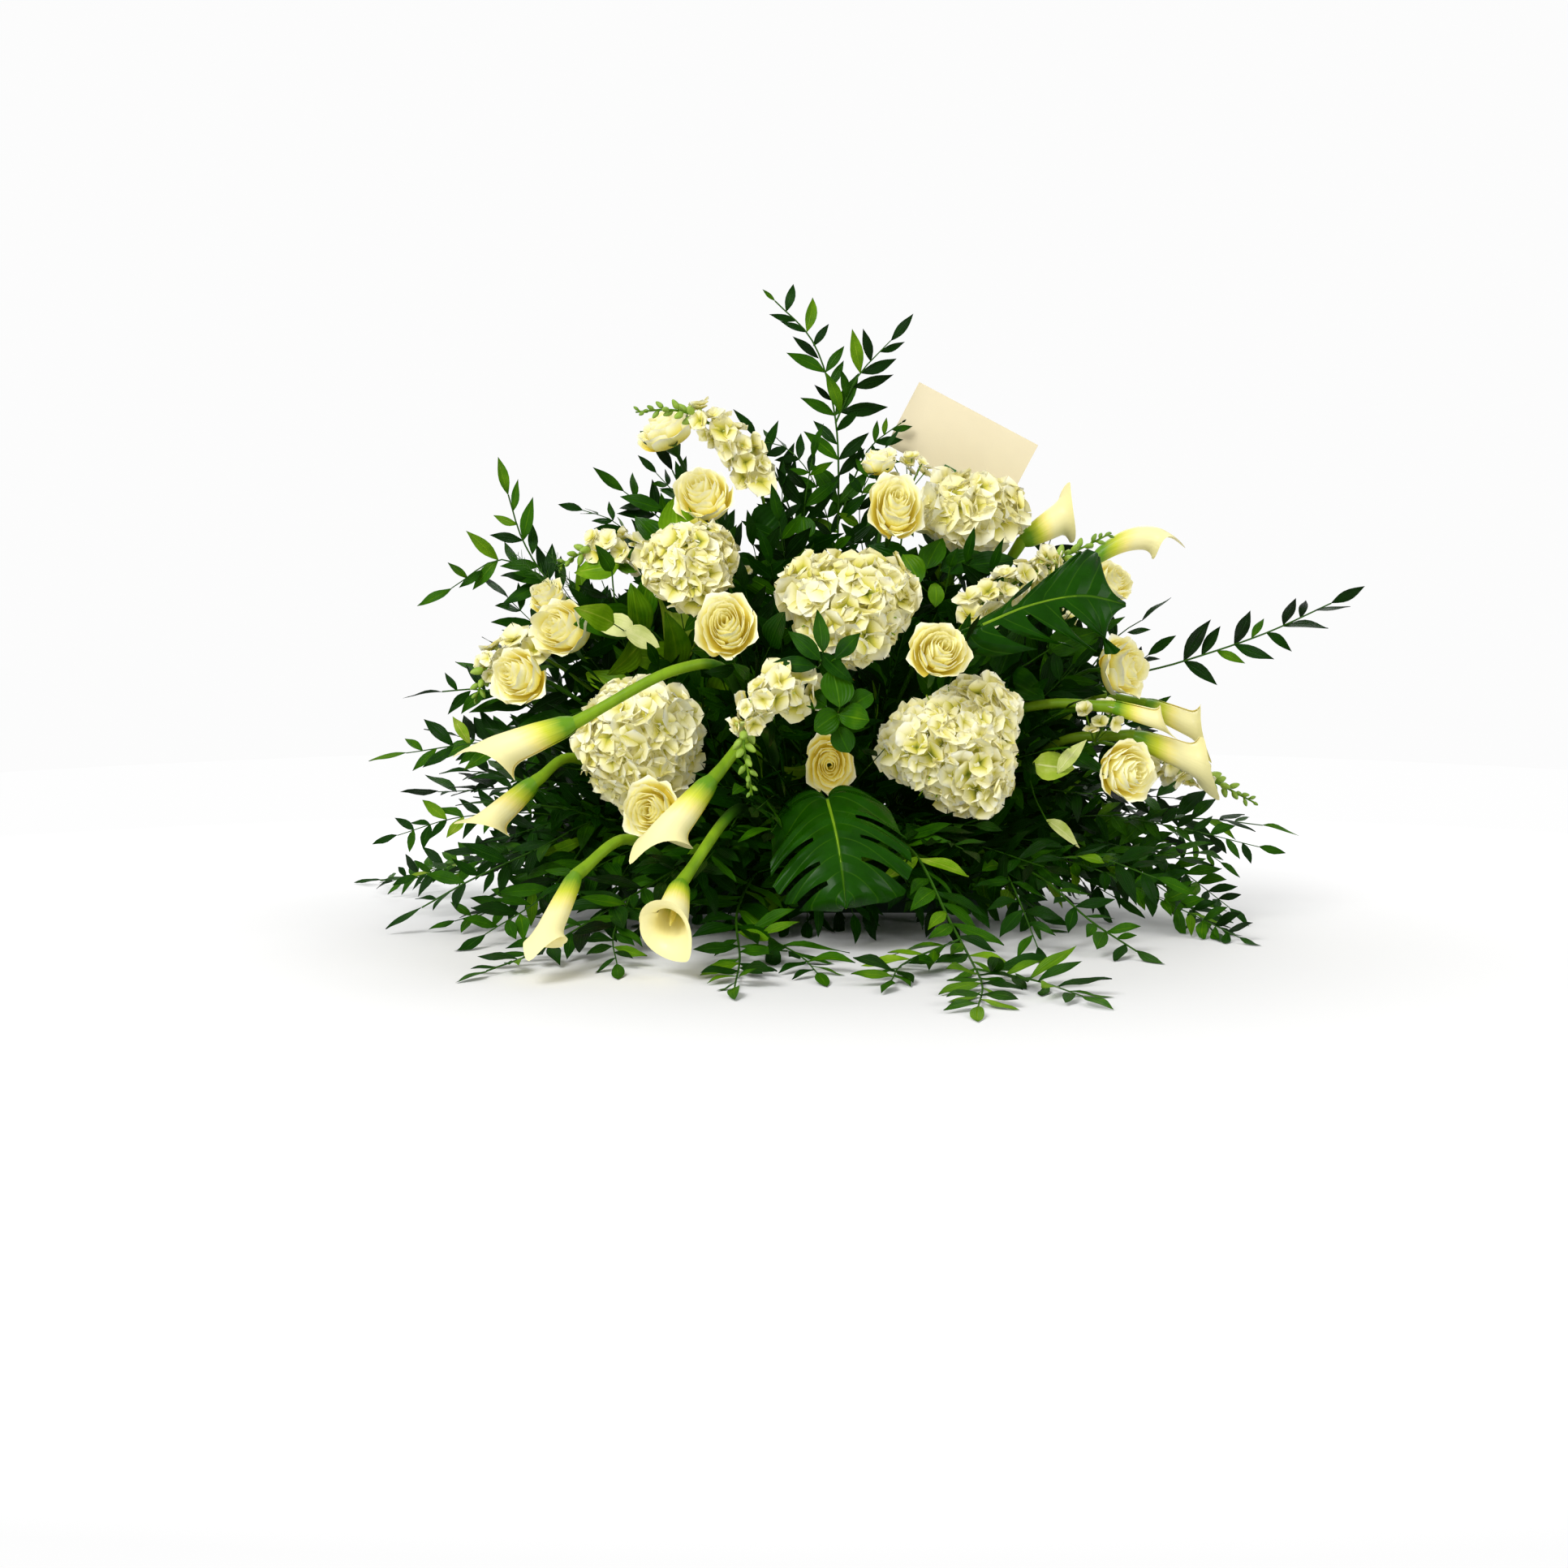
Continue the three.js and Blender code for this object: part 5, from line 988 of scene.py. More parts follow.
SPRAYS = [
    # Tall ruscus over the middle
    dict(trunk=[(0.018, -0.005, 0.3), (0.022, 0, 0.45), (0.018, 0, 0.6), (-0.01, 0, 0.69),
                (-0.055, 0, 0.737)], bare=0.5, face=(0, -1, 0.1), tone=0.3, slim=(0.76, 0.62), end=0.5,
         twigs=[twig((0.018, 0, 0.59), (0.045, -0.008, 0.645), (0.085, -0.014, 0.688)),
                twig((0.021, 0, 0.47), (0.06, 0.01, 0.56), (0.1, 0.018, 0.592), bare=0.45,
                     slim=(0.5, 0.45), end=0.3)]),
    dict(trunk=[(-0.02, 0.01, 0.3), (-0.025, 0.005, 0.44), (-0.05, 0, 0.52), (-0.078, -0.005, 0.572)],
         bare=0.5, face=(0, -1, 0.2), tone=0.2, slim=(0.8, 0.62),
         twigs=[twig((-0.024, 0.006, 0.42), (-0.018, -0.03, 0.5), (-0.01, -0.045, 0.545))]),
    # Upper left
    dict(trunk=[(-0.085, 0.015, 0.3), (-0.125, 0.025, 0.43), (-0.165, 0.03, 0.5), (-0.182, 0.032, 0.535)],
         bare=0.5, face=(0.1, -1, 0.3), tone=0.25,
         twigs=[twig((-0.118, 0.024, 0.4), (-0.19, 0.016, 0.47), (-0.24, 0, 0.508)),
                twig((-0.09, 0.02, 0.3), (-0.15, 0.09, 0.33), (-0.215, 0.13, 0.33), bare=0.3)]),
    dict(trunk=[(-0.18, 0.02, 0.25), (-0.27, 0.02, 0.345), (-0.335, 0.015, 0.4), (-0.365, 0.005, 0.45),
                (-0.381, 0, 0.504)], bare=0.52, face=(0.1, -1, 0.3), tone=0.4,
         twigs=[twig((-0.3, 0.018, 0.37), (-0.39, 0.01, 0.425), (-0.452, 0, 0.39), bare=0.25)]),
    # Left side, out and down to the ground
    dict(trunk=[(-0.28, -0.02, 0.19), (-0.36, -0.04, 0.25), (-0.41, -0.05, 0.268), (-0.456, -0.06, 0.266)],
         bare=0.4, face=(0, -0.6, 0.8), tone=0.35,
         twigs=[twig((-0.29, -0.022, 0.198), (-0.4, -0.06, 0.205), (-0.5, -0.062, 0.192), bare=0.2)]),
    dict(trunk=[(-0.29, 0.02, 0.09), (-0.4, 0.06, 0.045), (-0.49, 0.11, 0.02), (-0.574, 0.15, 0.008)],
         bare=0.2, face=(0, -0.2, 1), tone=0.4,
         twigs=[twig((-0.28, 0.018, 0.092), (-0.38, -0.05, 0.075), (-0.47, -0.07, 0.05)),
                twig((-0.26, 0.018, 0.098), (-0.31, 0.1, 0.11), (-0.33, 0.175, 0.09))]),
    dict(trunk=[(-0.25, -0.14, 0.12), (-0.33, -0.19, 0.09), (-0.4, -0.22, 0.06), (-0.455, -0.235, 0.03)],
         bare=0.15, face=(0, -0.6, 0.9), tone=0.3,
         twigs=[twig((-0.24, -0.134, 0.122), (-0.3, -0.2, 0.14), (-0.37, -0.24, 0.15)),
                twig((-0.26, -0.148, 0.115), (-0.31, -0.26, 0.05), (-0.37, -0.33, 0.015))]),
    dict(trunk=[(-0.13, -0.2, 0.084), (-0.22, -0.32, 0.05), (-0.3, -0.43, 0.014), (-0.345, -0.505, 0.006)],
         bare=0.2, face=(0, -0.4, 1), tone=0.3,
         twigs=[twig((-0.215, -0.312, 0.062), (-0.225, -0.4, 0.025), (-0.215, -0.48, 0.008))]),
    # Front, down to the ground and forward along it
    dict(trunk=[(-0.07, -0.2, 0.07), (-0.095, -0.33, 0.04), (-0.09, -0.45, 0.01), (-0.092, -0.59, 0.006)],
         bare=0.25, face=(0, -0.3, 1), tone=0.35,
         twigs=[twig((-0.092, -0.36, 0.03), (-0.03, -0.44, 0.012), (-0.01, -0.52, 0.006))]),
    dict(trunk=[(0.06, -0.18, 0.11), (0.1, -0.3, 0.1), (0.132, -0.4, 0.04), (0.15, -0.48, 0.008),
                (0.15, -0.58, 0.005), (0.136, -0.69, 0.005)], bare=0.3, face=(0, -0.3, 1), tone=0.45,
         twigs=[twig((0.14, -0.43, 0.024), (0.08, -0.48, 0.01), (0.062, -0.56, 0.006)),
                twig((0.15, -0.5, 0.007), (0.205, -0.56, 0.006), (0.24, -0.64, 0.006))]),
    # Right side, down to the ground and out
    dict(trunk=[(0.17, -0.15, 0.08), (0.24, -0.26, 0.07), (0.29, -0.33, 0.03), (0.33, -0.4, 0.008)],
         bare=0.2, face=(0, -0.4, 1), tone=0.3,
         twigs=[twig((0.22, -0.23, 0.074), (0.3, -0.25, 0.09), (0.37, -0.28, 0.07)),
                twig((0.2, -0.2, 0.078), (0.21, -0.31, 0.06), (0.225, -0.4, 0.012))]),
    dict(trunk=[(0.27, -0.04, 0.09), (0.36, -0.09, 0.07), (0.43, -0.15, 0.02), (0.44, -0.25, 0.006)],
         bare=0.15, face=(0, -0.4, 1), tone=0.3,
         twigs=[twig((0.3, -0.055, 0.088), (0.38, -0.06, 0.11), (0.465, -0.06, 0.112),
                     (0.536, -0.06, 0.104)),
                twig((0.34, -0.08, 0.076), (0.38, -0.16, 0.08), (0.42, -0.22, 0.09))]),
    # Long sprig that arches out on the right
    dict(trunk=[(0.23, 0.03, 0.19), (0.34, 0.01, 0.268), (0.44, -0.02, 0.3), (0.54, -0.03, 0.335),
                (0.62, -0.032, 0.372)], bare=0.66, face=(-0.3, -0.8, 0.6), tone=0.2,
         twigs=[twig((0.3, 0.018, 0.242), (0.37, 0.03, 0.33), (0.4, 0.03, 0.35)),
                twig((0.24, 0.028, 0.2), (0.29, 0.1, 0.21), (0.31, 0.16, 0.18), bare=0.3)]),
    # Broad leaves between the blooms
    dict(trunk=[(-0.01, -0.11, 0.17), (-0.008, -0.19, 0.24), (0.005, -0.255, 0.285)], bare=0.4,
         face=(0, -0.9, 0.4), kind=BROAD, tone=0.35,
         twigs=[twig((-0.009, -0.12, 0.18), (-0.075, -0.185, 0.28), (-0.06, -0.235, 0.325), bare=0.3),
                twig((-0.01, -0.1, 0.16), (-0.08, -0.195, 0.15), (-0.115, -0.26, 0.105), bare=0.35)]),
    dict(trunk=[(-0.11, -0.06, 0.22), (-0.19, -0.09, 0.33), (-0.24, -0.11, 0.37), (-0.245, -0.125, 0.41)],
         bare=0.4, face=(0, -0.9, 0.4), kind=BROAD, tone=0.5, end=0.6,
         twigs=[twig((-0.15, -0.074, 0.28), (-0.215, -0.13, 0.33), (-0.24, -0.175, 0.35), bare=0.2),
                twig((-0.115, -0.062, 0.23), (-0.23, -0.11, 0.26), (-0.3, -0.14, 0.24), bare=0.2)]),
    dict(trunk=[(0.09, -0.06, 0.23), (0.13, -0.08, 0.34), (0.146, -0.105, 0.385), (0.15, -0.125, 0.415)],
         bare=0.4, face=(0, -0.9, 0.4), kind=BROAD, tone=0.35, end=0.4,
         twigs=[twig((0.1, -0.064, 0.26), (0.22, -0.11, 0.29), (0.265, -0.15, 0.32), bare=0.2),
                twig((0.094, -0.06, 0.24), (0.225, -0.09, 0.235), (0.285, -0.17, 0.2), bare=0.2)]),
    # Back
    dict(trunk=[(0.06, 0.13, 0.15), (0.11, 0.18, 0.22), (0.14, 0.19, 0.3), (0.15, 0.18, 0.38)], bare=0.2,
         face=(0, 0.8, 0.5), kind=BROAD, tone=0.3,
         twigs=[twig((0.05, 0.12, 0.14), (-0.06, 0.2, 0.15), (-0.16, 0.23, 0.17), bare=0.35),
                twig((0.08, 0.15, 0.18), (0.16, 0.195, 0.13), (0.225, 0.205, 0.095), bare=0.35),
                twig((0.04, 0.1, 0.125), (0.02, 0.17, 0.08), (-0.005, 0.215, 0.04), bare=0.35),
                twig((0.036, 0.09, 0.12), (-0.07, 0.13, 0.095), (-0.15, 0.16, 0.07), bare=0.35),
                twig((0.052, 0.115, 0.138), (0.12, 0.1, 0.17), (0.185, 0.085, 0.2), bare=0.35)]),
]

leaf_look = Look("green_leaf", Specular_IOR_Level=0.08)
cloud = leaf_look.noise(leaf_look.place(), 45, 3)
wave = {"Vector": leaf_look.flat(), "Scale": 2.6, "Distortion": 0.6}
lines = leaf_look.node("ShaderNodeTexWave", {"bands_direction": "X"}, wave, "Fac")
rib_line = (1 - abs(leaf_look.across() - 0.5) * 20).clamped()
shade = (leaf_look.tone() + cloud * 0.3 - 0.15 + rib_line * 0.12).clamped()
leaf_colour = shade.ramp((0, 6, 25, 0), (0.3, 17, 57, 0), (0.5, 46, 94, 0), (0.72, 104, 146, 12),
                         (0.86, 158, 178, 58), (1, 216, 220, 150))
leaf_look.dress(leaf_colour, rib_line * 0.8 + lines * 0.35, 0.0007, 0.3 + cloud * 0.16, 0.07)

LEAF = Blank(4, 7)
SMALL_LEAF = Blank(2, 5)


def press_leaves(blank, leaves, drawn, form, drop, seed):
    """Leaves given by root, way out, way across, top, length and width, pressed from a blank"""
    roots, outs, wides, tops, lengths, widths = (np.array(part) for part in zip(*leaves))
    draw = np.random.default_rng(seed)
    count = len(roots)
    t, s = blank.across, blank.along
    crest, power = form
    swell = np.sin(math.pi * s ** (math.log(0.5) / math.log(crest))) ** power
    swell = np.maximum(swell, 0.05 * (1 - s)) + 0.012
    lengths, widths = (lengths * drawn[0])[:, None], (widths * drawn[1])[:, None]
    curl = draw.uniform(0.1, 0.3, (count, 1))
    drop = drop * draw.uniform(0.2, 2.2, (count, 1))
    sickle = draw.uniform(-0.14, 0.14, (count, 1)) * lengths * s ** 2
    twist = draw.uniform(-0.5, 0.5, (count, 1)) * s
    wave = 0.04 * np.sin(draw.uniform(5, 8, (count, 1)) * s + draw.uniform(0, 6, (count, 1))) * np.abs(t)
    aside = widths / 2 * swell * t
    lift = curl * np.abs(aside) + wave * widths * 2 - drop * lengths * s ** 2 + aside * np.sin(twist)
    aside = aside * np.cos(twist) * (1 - 0.1 * curl) + sickle
    return (roots[:, None] + outs[:, None] * (lengths * s)[..., None] + wides[:, None] * aside[..., None]
            + tops[:, None] * lift[..., None])


class Strand:
    """A leafy stem whose leaves sit in pairs at its steps"""

    def __init__(self, points, bare, kind, face, seed, radius, start=None):
        self.line = Line(points)
        # The steps match those of the CAD branch, so that leaves sit where its leaves do
        bare_steps = max(1, round(self.line.length * bare / BARE_PITCH + 1e-9))
        leaf_steps = max(2, round(self.line.length * (1 - bare) / kind["spacing"] + 1e-9))
        shares = [bare * k / bare_steps for k in range(bare_steps)]
        shares += [bare + (1 - bare) * k / leaf_steps for k in range(leaf_steps + 1)]
        self.centres = np.array([self.line.along(min(1, share)) for share in shares])
        self.centres[:, 2] = np.maximum(self.centres[:, 2], GROUND + LEAF_STEM)
        self.first = bare_steps
        self.start = start
        if start is not None:
            self.centres = np.concatenate([[start], self.centres])
            self.first += 1
        self.kind = kind
        self.face = unit(face)
        self.seed = seed
        self.radius = radius

    def axes(self, k):
        """The way ahead at a step, the top of its leaves, and the side"""
        last = len(self.centres) - 1
        ahead = unit(self.centres[min(k + 1, last)] - self.centres[max(k - 1, 0)])
        top = unit(self.face - ahead * self.face.dot(ahead))
        if k >= self.first:
            turn = 0.45 * sway(self.seed + k)
            top = top * math.cos(turn) + np.cross(ahead, top) * math.sin(turn)
        return ahead, top, np.cross(ahead, top)

    def pairs(self):
        """Each step that bears leaves, with the left hand and with the right"""
        return [(k, hand) for k in range(self.first, len(self.centres) - 1) for hand in (1, -1)]

    def leaf(self, k, hand, bend):
        """A leaf's root, way out, way across, top, length and width"""
        ahead, top, side = self.axes(k)
        share = (k - self.first) / max(1, len(self.centres) - 1 - self.first)
        size = (1 - 0.35 * share ** 2) * (1 + 0.18 * sway(self.seed * 3 + k * 2 + hand))
        lean = math.radians(self.kind["angle"] + 9 * sway(self.seed + 5 * k + hand))
        away = side * hand * math.cos(bend) + top * math.sin(bend)
        out = ahead * math.cos(lean) + away * math.sin(lean)
        wide = ahead * math.sin(lean) - away * math.cos(lean)
        return self.centres[k], out, wide, top, size * self.kind["length"], size * self.kind["width"]

    def tip(self, leaf):
        """Where the CAD node has the tip of a leaf"""
        root, out, _, top, length, _ = leaf
        return root + out * length - top * LEAF_DROP * length

    def grown(self, tree):
        """The leaves that the CAD node has, which are those whose tips it holds"""
        leaves = []
        for k, hand in self.pairs():
            tries = [self.leaf(k, hand, bend) for bend in BENDS]
            apart = [tree.find(self.tip(leaf))[2] for leaf in tries]
            if min(apart) < TIP_REACH:
                leaves.append(tries[apart.index(min(apart))])
        return leaves

    def between(self):
        """Smaller leaves half way between the pairs, for the close growth of real ruscus"""
        leaves = []
        for k, hand in self.pairs():
            bend = 0.5 * sway(self.seed * 7 + k * 3 + hand) + 0.15
            root, out, wide, top, length, width = self.leaf(k, hand, bend)
            root = root + (self.centres[k + 1] - root) * (0.5 + 0.15 * hand)
            size = 0.74 + 0.14 * sway(self.seed + 9 * k + hand)
            leaves.append((root, out, wide, top, length * size, width * size))
        return leaves

    def swayed(self, seed, lift):
        """Leaves in pairs, each bent up by a lift and a repeatable sway"""
        return [self.leaf(k, hand, 0.6 * sway(seed + k * 5 + hand) + lift) for k, hand in self.pairs()]

    def end(self, size=1):
        """The leaf at the tip"""
        ahead, top, side = self.axes(len(self.centres) - 1)
        length, width = 0.75 * size * self.kind["length"], 0.7 * size * self.kind["width"]
        return self.centres[-1], ahead, side, top, length, width

    def stem(self, cluster, tone):
        spots = self.line.spots(max(4, int(self.line.length / 0.016)))
        spots[:, 2] = np.maximum(spots[:, 2], GROUND + LEAF_STEM)
        if self.start is not None:
            spots = np.concatenate([[self.start], spots])
        cluster.tube(spots, self.radius * np.linspace(1, 0.5, len(spots)), 5, tone, 1)


def add_leaves(cluster, leaves, kind, tone, seed, blank=LEAF):
    draw = np.random.default_rng(seed)
    tones = np.clip(tone + 0.15 * draw.standard_normal(len(leaves)), 0.02, 0.8)
    points = press_leaves(blank, leaves, kind["drawn"], kind["form"], LEAF_DROP, seed)
    points[..., 2] = np.maximum(points[..., 2], GROUND)
    cluster.sheets(blank, points, LEAF_THICK, tones)


# Balls that small leaves keep clear of: the middle of each, its radius, and the way that it faces
FORWARD = np.array((0, -1, 0))
VIEW_DEPTH = 0.22
BLOOMS = [(np.array(rose["at"]), rose["wide"] * 0.5, unit(rose["face"])) for rose in ROSES]
BLOOMS += [(np.array(bloom["at"]), max(bloom["size"]) * 0.47, unit(bloom["face"])) for bloom in HYDRANGEAS]
BLOOMS += [(np.array(calla["neck"]) * (1 - share) + np.array(calla["tip"]) * share, 0.03, FORWARD)
           for calla in CALLAS for share in (0.1, 0.35, 0.6, 0.85)]
BLOOMS += [(np.array(leaf["rib"][k]), 0.055, FORWARD) for leaf in MONSTERAS for k in (1, 2)]
BLOOMS += [(np.array(plan["path"][k]), 0.032, FORWARD) for plan in SNAPDRAGONS for k in (1, 2, 3)]


def clear_of_blooms(spots, room=1):
    """Which spots lie neither in a ball nor close in front of one"""
    free = np.ones(len(spots), bool)
    for centre, radius, face in BLOOMS:
        way = spots - centre
        apart = np.linalg.norm(way, axis=1)
        ahead = way @ face
        beside = np.sqrt(np.maximum(apart ** 2 - ahead ** 2, 0))
        free &= (apart > radius * room) & ~((ahead > 0) & (beside < radius) & (ahead < VIEW_DEPTH))
    return free


def trimmed(leaves):
    """The leaves whose middles and tips are clear of the blooms"""
    tips = np.array([leaf[0] + leaf[1] * leaf[4] for leaf in leaves])
    middles = np.array([leaf[0] + leaf[1] * leaf[4] * 0.5 for leaf in leaves])
    free = clear_of_blooms(tips) & clear_of_blooms(middles)
    return [leaf for leaf, kept in zip(leaves, free) if kept]


for index, plan in enumerate(SPRAYS):
    name = f"foliage_{index + 1}"
    corners = corners_of(name)
    tree = kdtree.KDTree(len(corners))
    for k, corner in enumerate(corners):
        tree.insert(corner, k)
    tree.balance()
    kind = plan.get("kind", NARROW)
    if "slim" in plan:
        kind = dict(kind, drawn=plan["slim"])
    seed = 100 * (index + 1)
    bottom, start = hole_of(name)
    trunk = Strand([*start, *plan["trunk"]], plan["bare"], kind, plan["face"], seed, LEAF_STEM, bottom)
    strands = [trunk]
    ends = [trunk.end(plan.get("end", 1))]
    for order, side_twig in enumerate(plan["twigs"]):
        # The twig starts at the spot on the trunk that is nearest to the first point of its path
        target = np.array(side_twig["path"][0])
        lows, highs = trunk.centres[:-1], trunk.centres[1:]
        steps = highs - lows
        reach = np.clip(((target - lows) * steps).sum(1) / (steps ** 2).sum(1), 0, 1)[:, None]
        spots = lows + reach * steps
        root = spots[np.argmin(np.linalg.norm(spots - target, axis=1))]
        twig_kind = dict(kind, drawn=side_twig["slim"] or kind["drawn"])
        strand = Strand([root, *side_twig["path"][1:]], side_twig["bare"], twig_kind, plan["face"],
                        seed + 40 * (order + 1), LEAF_STEM * 0.7)
        strands.append(strand)
        ends.append(strand.end(side_twig["end"]))
    spray = Cluster()
    for strand, end in zip(strands, ends):
        grown = strand.grown(tree)
        more = trimmed(strand.between()) if kind["length"] == NARROW["length"] else []
        add_leaves(spray, [*grown, *more, end], strand.kind, plan["tone"], strand.seed)
        strand.stem(spray, 0.3)
    spray.piece(f"{name}_spray", [leaf_look, stem_look], "leaf", name)

# Filling greens
# Short leafy shoots that the florist pushes between the blooms to hide the foam, painted darker towards the
# inside as shade, and a skirt of them that hides the tray. They spring from the foam.
FILL_SHOOTS = 225
SKIRT_SHOOTS = 80
SHOOT_STEM = 0.0012
GAPS = [
    (-0.1, -0.3, 0.316), (-0.082, -0.305, 0.292), (-0.125, -0.29, 0.33), (-0.066, -0.3, 0.26),
    (-0.15, -0.37, 0.088), (-0.128, -0.365, 0.1), (-0.172, -0.372, 0.078), (-0.14, -0.36, 0.07),
    (-0.074, -0.36, 0.155), (-0.058, -0.36, 0.13), (-0.088, -0.34, 0.178), (-0.275, -0.235, 0.203),
    (-0.245, -0.25, 0.19),
    (0.085, -0.1, 0.43), (0.06, -0.1, 0.42), (0.11, -0.1, 0.42), (0.17, -0.1, 0.42), (0.2, -0.1, 0.41),
    (0.23, -0.09, 0.43), (-0.06, -0.1, 0.42), (-0.05, -0.08, 0.47), (-0.08, -0.1, 0.44), (-0.2, -0.06, 0.42),
    (-0.16, -0.03, 0.5), (0.3, -0.06, 0.36), (0.33, -0.05, 0.33), (0.28, -0.08, 0.33), (-0.25, -0.08, 0.39),
    (-0.27, -0.08, 0.36), (0.26, -0.1, 0.28), (0.3, -0.08, 0.3), (0.24, -0.14, 0.26), (-0.3, -0.05, 0.33),
]
SHOOT = dict(length=0.06, width=0.02, spacing=0.023, angle=50, form=(0.45, 1.0), drawn=(1, 1))


def add_shoot(cluster, start, middle, end, face, tone, seed, bare=0.28):
    """A shoot, unless its stem would cross in front of a bloom"""
    strand = Strand([start, middle, end], bare, SHOOT, face, 5000 + 31 * seed, SHOOT_STEM)
    if not clear_of_blooms(strand.line.spots(12, 0.3), 0).all():
        return
    leaves = trimmed([*strand.swayed(seed * 17, 0.25), strand.end()])
    if leaves:
        add_leaves(cluster, leaves, SHOOT, tone, seed + 900, SMALL_LEAF)
        strand.stem(cluster, 0.2)


def dome_end(angle, rise, share, start):
    """A spot on the round-shouldered dome that the shoots fill"""
    flat = math.sqrt(1 - rise ** 2)
    way = np.array((math.cos(angle) * flat, math.sin(angle) * flat, rise))
    shoulder = 1 + 0.42 * abs(way[0] * way[2])
    reach = np.array((0.4, 0.33 if way[1] < 0 else 0.2, 0.43)) * shoulder
    end = start * 0.3 + way * reach * share
    end[2] = max(end[2], 0.03)
    return end, way


fill = Cluster()
draw = np.random.default_rng(7)
for shoot in range(FILL_SHOOTS):
    inner = shoot % 3 == 0
    angle = shoot * GOLDEN_ANGLE
    rise = 0.02 + 0.94 * (shoot + 0.5) / FILL_SHOOTS
    start = np.array((math.cos(angle) * 0.15, math.sin(angle) * 0.055, 0.05 + 0.055 * rise))
    share = draw.uniform(0.5, 0.75) if inner else draw.uniform(0.76, 1)
    end, way = dome_end(angle, rise, share, start)
    middle = (start + end) / 2 + np.array((0, 0, 0.04 * (1 - rise))) + draw.uniform(-0.015, 0.015, 3)
    # Inner shoots are painted darker, as shade deep inside the spray
    tone = (0.08 if inner else 0.2) + 0.12 * draw.uniform(-1, 1)
    add_shoot(fill, start, middle, end, way + np.array((0, -0.4, 0.5)), tone, shoot)
fill.piece("filling_greens", [leaf_look, stem_look], "leaf")

skirt = Cluster()
for shoot in range(SKIRT_SHOOTS):
    angle = 2 * math.pi * (shoot + 0.4 * draw.uniform(-1, 1)) / SKIRT_SHOOTS
    way = np.array((math.cos(angle), math.sin(angle), 0))
    start = np.array((0.17 * way[0], 0.062 * way[1], draw.uniform(0.035, 0.08)))
    reach = np.array((0.4, 0.32 if way[1] < 0 else 0.2, 0)) * draw.uniform(0.5, 1.0)
    end = way * reach + np.array((0, 0, draw.uniform(0.005, 0.05)))
    middle = 0.35 * start + 0.65 * end + np.array((0, 0, draw.uniform(0.02, 0.06)))
    tone = 0.2 + 0.14 * draw.uniform(-1, 1)
    add_shoot(skirt, start, middle, end, way * 0.5 + np.array((0, -0.3, 0.9)), tone, shoot + 400, 0.3)
# Shoots that hide where the calla stems turn down to the foam, and that close gaps between blooms
for shoot, end in enumerate(GAPS):
    end = np.array(end)
    start = np.array((end[0] * 0.6, -0.06, 0.09)) if end[2] < 0.33 else np.array((end[0] * 0.5, 0.01, 0.1))
    middle = (start + end) / 2 + np.array((0.01, 0.02, 0.03))
    add_shoot(skirt, start, middle, end, (0, -0.9, 0.4), 0.24 + 0.1 * sway(shoot), shoot + 700, 0.62)
skirt.piece("skirt_greens", [leaf_look, stem_look], "leaf")

# Trailing sprigs
# Thin sprigs of small leaves that arch out of the foam between the ruscus: up at the middle and the
# left, and low out of both ends.
FINE = dict(length=0.042, width=0.015, spacing=0.02, angle=52, form=(0.45, 1.0), drawn=(1, 1))
TRAILS = [
    [(-0.03, 0, 0.11), (0.02, 0, 0.4), (-0.008, -0.01, 0.52), (-0.045, -0.01, 0.562), (-0.078, -0.01, 0.567)],
    [(-0.05, -0.02, 0.11), (-0.04, -0.03, 0.4), (-0.046, -0.035, 0.47), (-0.046, -0.035, 0.512)],
    [(-0.06, 0.01, 0.11), (-0.12, 0.01, 0.4), (-0.165, 0, 0.49), (-0.2, 0, 0.53)],
    [(-0.1, 0, 0.11), (-0.2, 0.01, 0.4), (-0.25, 0, 0.47), (-0.29, 0, 0.485)],
    [(0.08, 0.01, 0.11), (0.06, 0.01, 0.38), (0.05, 0, 0.5), (0.08, 0, 0.56)],
    [(0.186, -0.02, 0.07), (0.32, -0.1, 0.12), (0.42, -0.14, 0.11), (0.51, -0.16, 0.09)],
    [(0.186, -0.03, 0.06), (0.3, -0.16, 0.07), (0.4, -0.22, 0.03), (0.46, -0.3, 0.006)],
    [(0.186, -0.01, 0.06), (0.32, -0.05, 0.1), (0.42, -0.1, 0.06), (0.475, -0.17, 0.02)],
    [(0.186, -0.02, 0.05), (0.33, -0.13, 0.08), (0.4, -0.2, 0.04), (0.45, -0.24, 0.008)],
    [(0.186, 0.02, 0.06), (0.34, 0.04, 0.12), (0.44, 0.02, 0.09), (0.5, 0.01, 0.05)],
    [(-0.186, -0.02, 0.07), (-0.32, -0.09, 0.12), (-0.43, -0.12, 0.12), (-0.5, -0.13, 0.1)],
    [(-0.186, -0.03, 0.06), (-0.3, -0.11, 0.09), (-0.4, -0.13, 0.07), (-0.48, -0.12, 0.05)],
    [(-0.186, -0.01, 0.06), (-0.34, -0.02, 0.08), (-0.45, 0.02, 0.05), (-0.54, 0.06, 0.02)],
    [(-0.186, -0.02, 0.05), (-0.3, -0.18, 0.06), (-0.36, -0.2, 0.03), (-0.42, -0.22, 0.012)],
]
trails = Cluster()
for index, points in enumerate(TRAILS):
    strand = Strand(points, 0.42, FINE, (0, -0.7, 0.7), 8000 + 57 * index, SHOOT_STEM)
    leaves = [*trimmed(strand.swayed(index * 13, 0.1)), strand.end()]
    add_leaves(trails, leaves, FINE, 0.3, index + 1500, SMALL_LEAF)
    strand.stem(trails, 0.3)
trails.piece("trailing_sprigs", [leaf_look, stem_look], "leaf")

